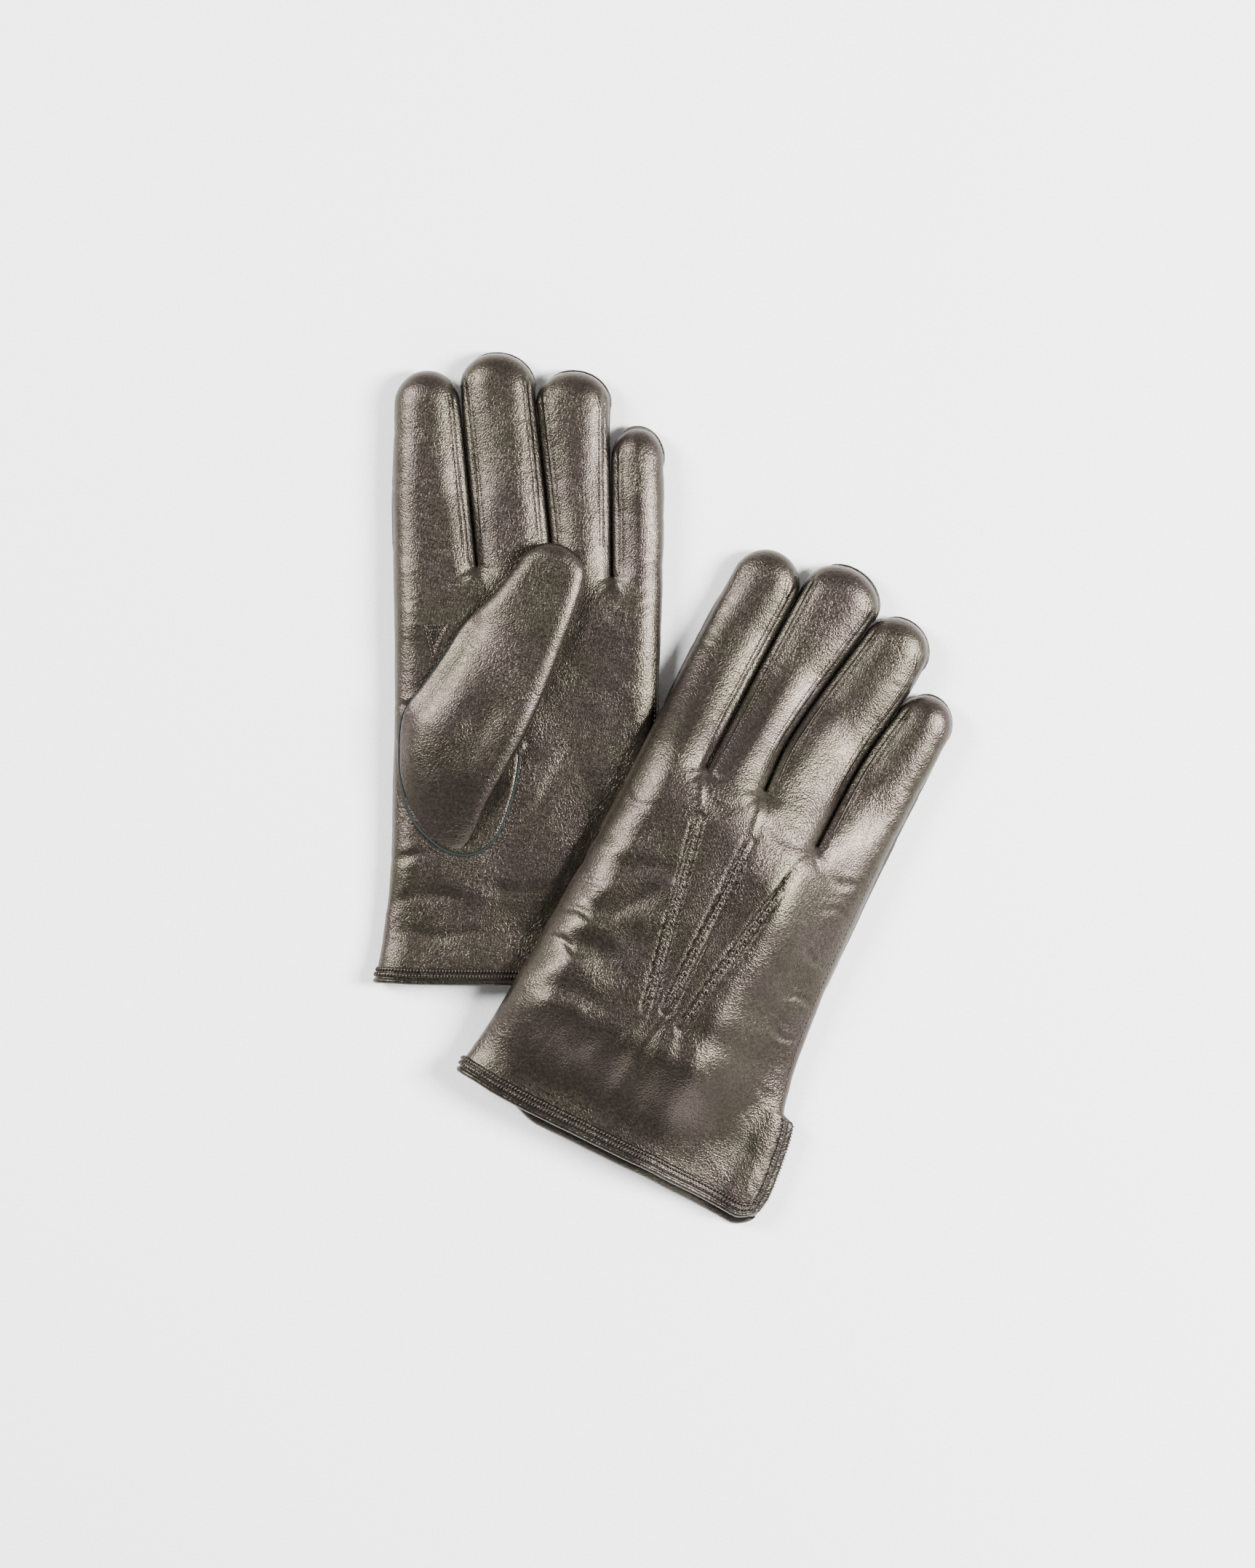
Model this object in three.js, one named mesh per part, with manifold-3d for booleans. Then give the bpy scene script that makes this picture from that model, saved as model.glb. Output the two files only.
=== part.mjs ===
// A pair of gentlemen's leather dress gloves, laid flat and partly one over the other.
// The left glove lies palm up with its thumb folded over the palm. The right glove lies back up on
// the left one's cuff corner, with its thumb folded under the palm.
// Each glove is made in its own frame: +Y from the cuff to the fingertips, the index finger at -X,
// and a height "eta" from the mid surface, positive towards the palm. Units are millimetres, +Z is up.
import * as THREE from "three";
import { mergeVertices } from "three/addons/utils/BufferGeometryUtils.js";
import Module from "manifold-3d";

const wasm = await Module();
wasm.setup();

// ---------------------------------------------------------------- driving dimensions
const GLOVE_LONG = 247; // from the cuff's edge to the left middle fingertip
const HAND_WIDE = 104; // across the left hand above the thumb, laid flat
const LEATHER = 0.8; // wall of the nappa shell
const LINING = 0.8; // wall of the knitted lining
const GAP = 0.3; // clearance between pieces that touch
const SLIT = 0.9; // gap between neighbouring fingers
const CREASE = 0.5; // gap at the crease where a finger or the thumb bends
const TIP_ROUND = 13; // length over which a fingertip rounds off
const FINGER_ROOT = 6; // how far a finger's tube runs into the end of the hand
const BIND_OUT = 0.9; // how far the cuff binding stands proud of the shell
const BIND_WALL = 0.6; // wall of the binding strip
const BIND_WIDE = 5.2; // how far the binding reaches up the cuff
const BIND_LIP = 1.1; // how far the binding reaches past the cuff's edge
const FORK_HIGH = 11.4; // height of a fourchette, the strip sewn into a finger's side
const FORK_DEEP = 4.4; // how far it wraps in from the finger's side
const FORK_TIP = 9; // distance from its end to the fingertip
const VENT_LONG = 41; // length of the slit at the cuff's little-finger corner
const VENT_HIGH = 4.4; // height of the opened slit
const VENT_BEAD = 1.6; // section of the bead that binds each edge of the slit
const RIB_WIDE = 2.0; // a "point", the stitched tuck on the back of the hand
const RIB_HIGH = 1.0;
const THUMB_CLEAR = 0.7; // gap between the folded thumb and the palm
const THUMB_ROUND = 11; // length over which the thumb's tip rounds off
const THUMB_SUNK = 3; // how far the thumb's base reaches down through its hole in the palm
const CROSS = 2.7; // exponent of the rounded cross-sections
const FLAT = 1.05; // how much their tops and bottoms are flattened
const FINGER_POINTS = 12; // points round a finger's section
const THUMB_POINTS = 12;
// Where the points of the hand's section stand, as shares of its half width.
const HAND_POINTS = [0.14, 0.4, 0.62, 0.79, 0.92, 0.99];
// Rows of the hand, as shares of the way from the cuff to the knuckles.
const HAND_ROWS = [0, 0.05, 0.16, 0.32, 0.52, 0.72, 0.87, 1];

const FINGERS = ["index", "middle", "ring", "little"];

// Outlines are [y, x] pairs of a glove of this length and width; both are stretched to the sizes above.
// The slits run between neighbouring fingers, from the crotch up.
const DRAWN_LONG = 247;
const DRAWN_WIDE = 104;
const STRETCH = [HAND_WIDE / DRAWN_WIDE, GLOVE_LONG / DRAWN_LONG];
// How much further to the right the upper glove lies for each millimetre that the hands are wider, so
// that its index finger still comes down beside the lower glove.
const SIDESTEP = 0.75;
const LEFT = {
  name: "left",
  palm: 1, // the palm faces up
  origin: [-53.7, -76.7],
  turn: -1,
  outer: [
    [0, -59], [15, -56.5], [35, -54.5], [60, -53.5],
    [110, -53.5], [150, -54.5], [190, -56], [215, -55.5],
  ],
  inner: [
    [0, 60], [15, 57], [35, 54], [60, 51.5],
    [110, 50.5], [150, 51], [180, 51.5], [205, 50.5],
  ],
  slits: [
    [[150, -21], [163, -22], [236, -30.5]],
    [[150, 8.5], [171, 7], [232, -0.5]],
    [[150, 31], [160, 31], [217, 29.5]],
  ],
  knuckles: [[-60, 156], [-22, 163], [7, 170], [31, 160], [55, 154]], // [x, y] of the hand's end
  tips: [239.5, 247, 240.5, 219],
  creases: [167, 174, 174, 164],
  thickness: [[0, 10.5], [30, 11], [80, 12], [130, 13.5], [158, 15]],
  pressed: 1.6, // how much thinner the corner under the right glove is
  raised: () => 0,
  thumb: { thick: 12, crease: 6, long: 88, lean: 27.5 },
  points: [[[130, -25], [56, -8]], [[131, -3.5], [59, -1]], [[128, 17], [56, 7]]],
};
const RIGHT = {
  name: "right",
  palm: -1, // the palm faces down
  origin: [-25.2, -138.8],
  turn: -28,
  outer: [
    [0, -62], [15, -60], [35, -58.5], [60, -57.5],
    [110, -57], [150, -57.5], [190, -58.5], [210, -58.5],
  ],
  inner: [
    [0, 66], [10, 67], [25, 65.5], [40, 62.5], [55, 56.5],
    [75, 53], [95, 51], [120, 49.5], [150, 48], [200, 47],
  ],
  slits: [
    [[130, -31], [150, -31.5], [232, -31.5]],
    [[130, -6], [150, -7], [175, -8], [233, 0]],
    [[130, 21], [141, 21], [180, 21.5], [214, 26]],
  ],
  knuckles: [[-60, 146], [-31, 150], [-7, 153], [21, 144], [55, 138]],
  tips: [237.5, 245.5, 237.5, 216],
  creases: [164, 168, 168, 159],
  thickness: [[0, 10.5], [30, 11], [80, 12], [125, 13.5], [150, 15]],
  pressed: 0,
  // The palm rides over the folded thumb and the left glove, and droops to the surface all round.
  raised: (x, y) => {
    const side = x < -42 ? 1 - 0.26 * fade(-42, -60, x) : 1 - fade(16, 54, x);
    const early = fade(-20, 40, x);
    const front = 1 - fade(128 - 22 * early, 208 - 30 * early, y);
    return 19.5 * side * (1 - 0.55 * fade(45, 8, y)) * front;
  },
  thumb: { thick: 7.6, crease: 27, long: 74, lean: 29 },
  points: [[[130, -25], [56, -8]], [[131, -3.5], [59, -1]], [[128, 17], [56, 7]]],
};

// The thumb's base, from the bottom of its oval seam to its tube.
const THUMB_BASE = [
  { at: [-26, 52.5], lean: 0, half: 4, rise: 0.05 },
  { at: [-27, 56], lean: 2, half: 13, rise: 0.2 },
  { at: [-28, 63], lean: 7, half: 18.5, rise: 0.42 },
  { at: [-28.5, 73], lean: 13, half: 21.5, rise: 0.65 },
  { at: [-28.5, 84], lean: 20, half: 23, rise: 0.85 },
];
const THUMB_ROOT = [-28, 95]; // where the thumb's straight tube starts
const THUMB_BASE_LEAN = 27.5; // the lean that the headings above are given for
const THUMB_SPAN = 88; // the length that the half widths below are given for
// Pairs of the way along the tube and its half width.
const THUMB_HALF = [[0, 22.6], [20, 21.5], [41, 19.7], [60, 16.5], [72, 13.7], [88, 12.5]];

// ---------------------------------------------------------------- small maths
// 0 before a, 1 after b, and smooth between; a may be the larger one.
function fade(a, b, v) {
  const t = Math.min(1, Math.max(0, (v - a) / (b - a)));
  return t * t * (3 - 2 * t);
}

// A smooth value through [at, value] pairs, level past both ends.
function through(pairs, at) {
  const last = pairs.length - 1;
  if (at <= pairs[0][0]) return pairs[0][1];
  if (at >= pairs[last][0]) return pairs[last][1];
  const i = pairs.findIndex((p) => p[0] > at) - 1;
  const slope = (k) => {
    const [a, b] = [pairs[Math.max(0, k - 1)], pairs[Math.min(last, k + 1)]];
    return (b[1] - a[1]) / (b[0] - a[0]);
  };
  const [x0, v0] = pairs[i];
  const [x1, v1] = pairs[i + 1];
  const w = x1 - x0;
  const t = (at - x0) / w;
  return (
    v0 * (1 + 2 * t) * (1 - t) ** 2 +
    slope(i) * w * t * (1 - t) ** 2 +
    v1 * t * t * (3 - 2 * t) -
    slope(i + 1) * w * t * t * (1 - t)
  );
}

// ---------------------------------------------------------------- how a glove lies
function handThickness(glove, x, y) {
  const corner = glove.pressed * fade(5, 35, x) * fade(90, 50, y);
  return through(glove.thickness, y) - corner;
}

// Height of the surface that the glove's underside lies at: the leather is lifted by the cuff's
// binding and, on a palm-up glove, by the points on its back.
function lyingHeight(glove, x, y) {
  const cuff = BIND_OUT * (1 - fade(8, 26, y));
  const points = glove.palm > 0 ? (GAP + RIB_HIGH + 0.1) * fade(8, 50, y) * fade(158, 136, y) : 0;
  return Math.max(cuff, points) + glove.raised(x, y);
}

// A point of the glove's frame: eta is measured from the mid surface towards the palm.
function put(glove, x, y, eta) {
  const mid = lyingHeight(glove, x, y) + handThickness(glove, x, y) / 2;
  return [x * STRETCH[0], y * STRETCH[1], mid + glove.palm * eta];
}

// ---------------------------------------------------------------- solids
// A closed solid from rings of points. Its ends are closed by strips that run across the section.
function loft(rings) {
  const n = rings[0].length;
  const faces = [];
  for (let r = 0; r + 1 < rings.length; r++)
    for (let i = 0; i < n; i++) {
      const a = r * n + i;
      const b = r * n + ((i + 1) % n);
      faces.push([a, b, b + n], [a, b + n, a + n]);
    }
  const last = (rings.length - 1) * n;
  for (let i = 0, j = n - 1; i + 1 < j; i++, j--) {
    faces.push([j, i + 1, i], [last + i, last + i + 1, last + j]);
    if (i + 1 < j - 1) faces.push([j, j - 1, i + 1], [last + i + 1, last + j - 1, last + j]);
  }
  return solid(rings.flat(), faces);
}

function solid(points, faces) {
  const make = (list) =>
    new wasm.Manifold(
      new wasm.Mesh({
        numProp: 3,
        vertProperties: new Float32Array(points.flat()),
        triVerts: new Uint32Array(list.flat()),
      }),
    );
  const made = make(faces);
  return made.volume() > 0 ? made : make(faces.map(([a, b, c]) => [a, c, b]));
}

// A rounded section of half width a and half height b, as [across, height] pairs.
function section(count, a, b) {
  return Array.from({ length: count }, (_, i) => {
    const angle = (2 * Math.PI * (i + 0.5)) / count;
    const [c, s] = [Math.cos(angle), Math.sin(angle)];
    const across = Math.sign(c) * Math.abs(c) ** (2 / CROSS);
    const high = Math.sign(s) * Math.min(1, FLAT * Math.abs(s) ** (2 / CROSS));
    return [a * across, b * high];
  });
}

// A bar with a rectangular section at each [y, x low, x high, eta low, eta high].
function bar(glove, stations) {
  return loft(
    stations.map(([y, x0, x1, low, high]) =>
      [[x0, low], [x1, low], [x1, high], [x0, high]].map(([x, eta]) => put(glove, x, y, eta)),
    ),
  );
}

function steps(from, to, count) {
  return Array.from({ length: count + 1 }, (_, i) => from + ((to - from) * i) / count);
}

// ---------------------------------------------------------------- the glove's body
// The hand, shrunk by inset, from the cuff to the knuckles.
function handSolid(glove, inset) {
  return loft(
    HAND_ROWS.map((f) => handRing(glove, inset, (x) => f * (through(glove.knuckles, x) - inset))),
  );
}

// One section of the hand. Its points keep their places across the hand whatever the inset is, so
// that the leather and the lining run parallel.
function handRing(glove, inset, rowAt) {
  const y0 = rowAt(0);
  const [low, high] = [through(glove.outer, y0), through(glove.inner, y0)];
  const half = (high - low) / 2;
  const right = HAND_POINTS.map((u) => (u < 0.9 ? u * half : u * (half - inset)));
  const top = [...right.toReversed(), ...right.map((v) => -v)];
  return [...top, ...top.toReversed()].map((v, i) => {
    const side = i < top.length ? 1 : -1;
    const high01 = side * Math.min(1, FLAT * (1 - (Math.abs(v) / (half - inset)) ** CROSS) ** (1 / CROSS));
    const x = (low + high) / 2 + v;
    const y = rowAt(x);
    return put(glove, x, y, high01 * (handThickness(glove, x, y) / 2 - inset));
  });
}

// The x of a finger's two sides at y, half a slit inside each neighbour.
function fingerSides(glove, i, y) {
  const low = i === 0 ? through(glove.outer, y) : through(glove.slits[i - 1], y) + SLIT / 2;
  const high = i === 3 ? through(glove.inner, y) : through(glove.slits[i], y) - SLIT / 2;
  return [low, high];
}

function fingerSolid(glove, i, inset) {
  const tip = glove.tips[i] - inset;
  const bend = glove.tips[i] - TIP_ROUND;
  const rings = [];
  const ring = (yAt, size) => {
    const [low, high] = fingerSides(glove, i, Math.min(yAt(0), bend));
    const half = ((high - low) / 2 - inset) * size;
    rings.push(
      section(FINGER_POINTS, half, 1).map(([across, high01]) => {
        const x = (low + high) / 2 + across;
        const y = yAt(x);
        return put(glove, x, y, high01 * size * (handThickness(glove, x, y) / 2 - inset));
      }),
    );
  };
  const knuckle = (x) => through(glove.knuckles, x);
  ring((x) => knuckle(x) - FINGER_ROOT + inset, 0.85);
  ring((x) => knuckle(x) - 2.2, 0.99);
  for (const y of steps(glove.creases[i] - 1, bend, 2)) ring(() => y, 1);
  for (const degrees of [38, 62, 80]) {
    const a = (degrees * Math.PI) / 180;
    ring(() => bend + (tip - bend) * Math.sin(a), Math.cos(a));
  }
  return loft(rings);
}

// The whole glove without its thumb: the hand and four fingers joined.
function gloveSolid(glove, inset) {
  return FINGERS.reduce((whole, _, i) => whole.add(fingerSolid(glove, i, inset)), handSolid(glove, inset));
}

// Everything of finger i past its crease, up to the middle of the slits beside it.
function fingerReach(glove, i, from) {
  const wide = 20;
  const tall = 30;
  const ys = [...steps(from, glove.tips[i], 7), glove.tips[i] + 10];
  return bar(
    glove,
    ys.map((y) => {
      const low = i === 0 ? through(glove.outer, y) - wide : through(glove.slits[i - 1], y);
      const high = i === 3 ? through(glove.inner, y) + wide : through(glove.slits[i], y);
      return [y, low, high, -tall, tall];
    }),
  );
}

// ---------------------------------------------------------------- fourchettes
// The window in the side of finger i that a fourchette fills; side is -1 towards the index finger's
// edge and 1 towards the little finger's.
function forkBar(glove, i, side, shrink) {
  const ys = steps(glove.creases[i] + 2 + shrink, glove.tips[i] - FORK_TIP - shrink, 3);
  const high = FORK_HIGH / 2 - shrink;
  return bar(
    glove,
    ys.map((y) => {
      const edge = fingerSides(glove, i, Math.min(y, glove.tips[i] - TIP_ROUND))[side < 0 ? 0 : 1];
      const [far, near] = [edge + side * 2, edge - side * (FORK_DEEP - shrink)];
      return [y, Math.min(far, near), Math.max(far, near), -high, high];
    }),
  );
}

function forkSides(i) {
  return [-1, 1].filter((side) => !(i === 0 && side < 0) && !(i === 3 && side > 0));
}

// ---------------------------------------------------------------- the thumb
function thumbAlong(glove, s) {
  const a = (glove.thumb.lean * Math.PI) / 180;
  return [THUMB_ROOT[0] + s * Math.sin(a), THUMB_ROOT[1] + s * Math.cos(a)];
}

// One section of the thumb, square to its heading, between two heights above the palm; it is widest
// at the middle height.
function thumbRing(glove, at, lean, half, low, middle, high) {
  const a = (lean * Math.PI) / 180;
  return section(THUMB_POINTS, half, 1).map(([across, high01]) => {
    const [x, y] = [at[0] + across * Math.cos(a), at[1] - across * Math.sin(a)];
    const eta = middle + high01 * (high01 > 0 ? high - middle : middle - low);
    return put(glove, x, y, handThickness(glove, x, y) / 2 + eta);
  });
}

// The thumb's base rises out of the oval hole in the palm; it ends where the tube leaves the palm.
function thumbBase(glove, inset) {
  const { thick, lean } = glove.thumb;
  const low = -THUMB_SUNK + inset;
  const centre = THUMB_CLEAR + thick / 2;
  const rings = THUMB_BASE.map((b, k) => {
    const heading = (b.lean * lean) / THUMB_BASE_LEAN;
    const half = Math.max(1, b.half - inset);
    const at = [b.at[0], b.at[1] + inset * (1 - k / THUMB_BASE.length)];
    const high = Math.max(low + 0.2, b.rise * (thick + THUMB_CLEAR) - inset);
    return thumbRing(glove, at, heading, half, low, Math.min(b.rise * centre, high - 0.1), high);
  });
  const end = thumbAlong(glove, 2 * GAP - inset);
  const high = thick + THUMB_CLEAR - inset;
  rings.push(thumbRing(glove, end, lean, THUMB_HALF[0][1] - inset, low, centre, high));
  return rings;
}

function thumbTube(glove, inset) {
  const { thick, long, lean } = glove.thumb;
  const bend = long - THUMB_ROUND;
  const straight = steps(5, bend, 3).map((s) => [s, 1]);
  const curved = [38, 62, 80].map((degrees) => {
    const a = (degrees * Math.PI) / 180;
    return [bend + (THUMB_ROUND - inset) * Math.sin(a), Math.cos(a)];
  });
  return [[2 * GAP - inset + 0.3, 1], ...straight, ...curved].map(([s, size]) => {
    const middle = THUMB_CLEAR + thick / 2;
    const tall = (thick / 2 - inset) * size;
    const half = (through(THUMB_HALF, (Math.min(s, bend) * THUMB_SPAN) / long) - inset) * size;
    return thumbRing(glove, thumbAlong(glove, s), lean, half, middle - tall, middle, middle + tall);
  });
}

// A slab square to the thumb's heading, from s0 to s1, over the thumb's whole width.
function thumbSlab(glove, s0, s1) {
  const a = (glove.thumb.lean * Math.PI) / 180;
  const wide = 45;
  return loft(
    [s0, s1].map((s) => {
      const at = thumbAlong(glove, s);
      return [[-wide, -40], [wide, -40], [wide, 60], [-wide, 60]].map(([across, z]) => [
        (at[0] + across * Math.cos(a)) * STRETCH[0],
        (at[1] - across * Math.sin(a)) * STRETCH[1],
        z,
      ]);
    }),
  );
}

// ---------------------------------------------------------------- cuff, vent, points, quirk
// The slit at the cuff's little-finger corner.
function ventBar(glove) {
  return bar(
    glove,
    steps(-8, VENT_LONG, 5).map((y) => {
      const edge = through(glove.inner, Math.max(0, y));
      return [y, edge - 5, edge + 6, -VENT_HIGH / 2, VENT_HIGH / 2];
    }),
  );
}

// The bead that binds one edge of the slit; layer is 1 for the palm's edge and -1 for the back's.
function ventBead(glove, layer) {
  const middle = layer * (VENT_BEAD / 2 + GAP / 2 + 0.15);
  const half = VENT_BEAD / 2;
  return loft(
    steps(BIND_WIDE + GAP, VENT_LONG - 1, 4).map((y) => {
      const edge = through(glove.inner, y) - LEATHER - 0.6;
      return section(6, half, half).map(([across, eta]) => put(glove, edge + across, y, middle + eta));
    }),
  );
}

// The binding: a strip folded over the cuff's edge, so it is a U in section all the way round.
function cuffBinding(glove) {
  const wall = LEATHER + GAP + LINING;
  const cuffRing = (inset, from, to) =>
    loft([from, to].map((y) => handRing(glove, inset, () => y)));
  const outside = cuffRing(-BIND_OUT, -BIND_LIP, BIND_WIDE);
  const room = cuffRing(-BIND_OUT + BIND_WALL, -BIND_LIP + BIND_WALL, BIND_WIDE + 5);
  const island = cuffRing(wall + 1.5 * GAP, -BIND_LIP - 5, BIND_WIDE + 8);
  const hollow = cuffRing(wall + 1.5 * GAP + BIND_WALL, -BIND_LIP - 6, BIND_WIDE + 9);
  return outside.subtract(room.subtract(island)).subtract(hollow).subtract(ventBar(glove));
}

// A point: a narrow tuck on the back that tapers to nothing at both ends.
function pointRib(glove, ends) {
  const [[y0, x0], [y1, x1]] = ends;
  return loft(
    steps(0, 1, 5).map((t) => {
      const size = 0.45 + 0.55 * Math.sin(Math.PI * Math.min(1, Math.max(0, t * 1.1 - 0.05)));
      const [x, y] = [x0 + (x1 - x0) * t, y0 + (y1 - y0) * t];
      const back = -handThickness(glove, x, y) / 2 - GAP;
      return [[-1, 0], [1, 0], [0.5, -1], [-0.5, -1]].map(([u, v]) =>
        put(glove, x + (u * RIB_WIDE) / 2, y, back + v * RIB_HIGH * size),
      );
    }),
  );
}

// The quirk, a small triangle let into the palm above the thumb's seam; shrink is its clearance.
function quirkPrism(glove, shrink) {
  const middle = [-37.5, 135.5];
  const corners = [[-42, 139.5], [-32.5, 140], [-38.5, 127]];
  const ring = (eta) =>
    corners.map(([x, y]) => {
      const keep = 1 - (2.2 * shrink) / Math.hypot(x - middle[0], y - middle[1]);
      return put(glove, middle[0] + (x - middle[0]) * keep, middle[1] + (y - middle[1]) * keep, eta);
    });
  return loft([ring(0), ring(20)]);
}

// ---------------------------------------------------------------- materials
const paint = {
  leather: new THREE.MeshStandardMaterial({ color: 0x544a40, roughness: 0.42, metalness: 0.55 }),
  fourchette: new THREE.MeshStandardMaterial({ color: 0x4a4138, roughness: 0.48, metalness: 0.5 }),
  trim: new THREE.MeshStandardMaterial({ color: 0x39322c, roughness: 0.45, metalness: 0.45 }),
  lining: new THREE.MeshStandardMaterial({ color: 0x2c2926, roughness: 0.95, metalness: 0 }),
};

function mesh(name, made, material) {
  const { numProp, numVert, vertProperties, triVerts } = made.getMesh();
  const position = new Float32Array(numVert * 3);
  for (let v = 0; v < numVert; v++)
    position.set(vertProperties.subarray(v * numProp, v * numProp + 3), v * 3);
  const geometry = new THREE.BufferGeometry();
  geometry.setAttribute("position", new THREE.BufferAttribute(position, 3));
  geometry.setIndex(new THREE.BufferAttribute(triVerts, 1));
  const merged = mergeVertices(geometry, 1e-4);
  merged.computeVertexNormals();
  const result = new THREE.Mesh(merged, material);
  result.name = name;
  return result;
}

// ---------------------------------------------------------------- one glove
function makeGlove(glove) {
  const group = new THREE.Group();
  const aside = glove.palm < 0 ? SIDESTEP * (HAND_WIDE - DRAWN_WIDE) : 0;
  group.position.set(glove.origin[0] * STRETCH[0] + aside, glove.origin[1] * STRETCH[1], 0);
  group.rotation.z = (glove.turn * Math.PI) / 180;
  const add = (name, made, material) => group.add(mesh(`${glove.name}_${name}`, made, material));
  const wall = LEATHER + GAP; // the lining's outside, measured in from the leather's
  const full = wall + LINING;

  const mouth = (inset) => loft([-6, 3].map((y) => handRing(glove, inset, () => y)));
  const hollow = (inset) => gloveSolid(glove, inset).add(mouth(inset + 0.05));
  const shell = gloveSolid(glove, 0).subtract(hollow(LEATHER));
  const inside = gloveSolid(glove, wall).subtract(hollow(full));

  // The thumb's base and tube, each a shell with a lining, cut apart at the crease.
  const { crease, long } = glove.thumb;
  const baseCut = thumbSlab(glove, -60, crease - CREASE / 2);
  const tubeCut = thumbSlab(glove, crease + CREASE / 2, long + 20);
  const thumb = (inset) => loft([...thumbBase(glove, inset), ...thumbTube(glove, inset)]);
  const under = bar(glove, [40, 70, 100, 130].map((y) => {
    const floor = handThickness(glove, THUMB_ROOT[0], y) / 2 - THUMB_SUNK + full;
    return [y, -60, 20, -20, floor];
  }));
  const thumbHole = loft(thumbBase(glove, -GAP));
  const leatherThumb = thumb(0).subtract(thumb(LEATHER)).subtract(under);
  const liningThumb = thumb(wall).subtract(thumb(full)).subtract(under);
  add("thumb_base", leatherThumb.intersect(baseCut), paint.leather);
  add("thumb_sleeve", leatherThumb.intersect(tubeCut), paint.leather);
  add("thumb_base_lining", liningThumb.intersect(baseCut), paint.lining);
  add("thumb_lining", liningThumb.intersect(tubeCut), paint.lining);

  // Fingers: each is cut from the shell past its crease, with windows for its fourchettes.
  let handLeather = shell.subtract(thumbHole).subtract(ventBar(glove)).subtract(quirkPrism(glove, 0));
  let handLining = inside.subtract(thumbHole).subtract(ventBar(glove));
  FINGERS.forEach((finger, i) => {
    const reach = fingerReach(glove, i, glove.creases[i] + CREASE / 2);
    const freed = fingerReach(glove, i, glove.creases[i] - CREASE / 2);
    let sleeve = shell.intersect(reach);
    for (const side of forkSides(i)) {
      const strip = sleeve.intersect(forkBar(glove, i, side, GAP));
      const place = i === 0 || i === 3 ? "" : side < 0 ? "_index_side" : "_little_side";
      add(`${finger}_fourchette${place}`, strip, paint.fourchette);
    }
    for (const side of forkSides(i)) sleeve = sleeve.subtract(forkBar(glove, i, side, 0));
    add(`${finger}_sleeve`, sleeve, paint.leather);
    add(`${finger}_lining`, inside.intersect(reach), paint.lining);
    handLeather = handLeather.subtract(freed);
    handLining = handLining.subtract(freed);
  });
  add("trank", handLeather, paint.leather);
  add("hand_lining", handLining, paint.lining);
  add("cuff_binding", cuffBinding(glove), paint.trim);
  add("vent_bead_palm", ventBead(glove, 1), paint.trim);
  add("vent_bead_back", ventBead(glove, -1), paint.trim);
  add("point_by_index", pointRib(glove, glove.points[0]), paint.leather);
  add("point_middle", pointRib(glove, glove.points[1]), paint.leather);
  add("point_by_little", pointRib(glove, glove.points[2]), paint.leather);
  add("quirk", shell.intersect(quirkPrism(glove, GAP)), paint.leather);
  return group;
}

const gloves = new THREE.Group();
for (const glove of [LEFT, RIGHT]) gloves.add(makeGlove(glove));

export default gloves;
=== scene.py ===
"""The looks of a pair of leather dress gloves: the left one palm up, the right one back up across it.

Every skin is meshed in its glove's own flat space, in millimetres: x across the hand (index finger at
-x), y from the cuff to the fingertips, and e, the height from the mid surface, positive towards the
palm. `put` then lays it on the table, over the other glove's corner and the folded thumb.
"""

import math

import bpy
import numpy as np
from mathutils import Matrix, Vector
from mathutils.bvhtree import BVHTree
from mathutils.kdtree import KDTree


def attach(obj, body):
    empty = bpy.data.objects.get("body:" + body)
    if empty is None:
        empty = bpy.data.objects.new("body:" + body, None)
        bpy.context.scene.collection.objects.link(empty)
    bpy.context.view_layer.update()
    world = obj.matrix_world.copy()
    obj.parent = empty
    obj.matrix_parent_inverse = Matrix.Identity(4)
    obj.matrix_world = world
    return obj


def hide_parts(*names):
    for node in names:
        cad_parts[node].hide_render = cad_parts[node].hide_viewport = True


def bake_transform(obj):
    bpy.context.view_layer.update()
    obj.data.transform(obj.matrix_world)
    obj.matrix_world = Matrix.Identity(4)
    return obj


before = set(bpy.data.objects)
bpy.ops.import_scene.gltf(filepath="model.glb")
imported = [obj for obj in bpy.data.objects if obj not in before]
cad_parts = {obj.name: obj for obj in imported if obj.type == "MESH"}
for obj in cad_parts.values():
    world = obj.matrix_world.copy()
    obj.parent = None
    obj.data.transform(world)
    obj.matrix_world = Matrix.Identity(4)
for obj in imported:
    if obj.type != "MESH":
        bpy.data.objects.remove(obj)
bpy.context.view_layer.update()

# ---------------------------------------------------------------- sizes, in millimetres
CELL = 0.7  # mesh size of the skins
SLIT = 0.6
SPREAD = 1.7  # how far each finger is held off its slit while it is meshed
TIP_ROUND = 13
EDGE_ROUND = 11.0  # how far in from the outline the skin curves down
BULGE = 2.2  # exponent of that curve
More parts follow.
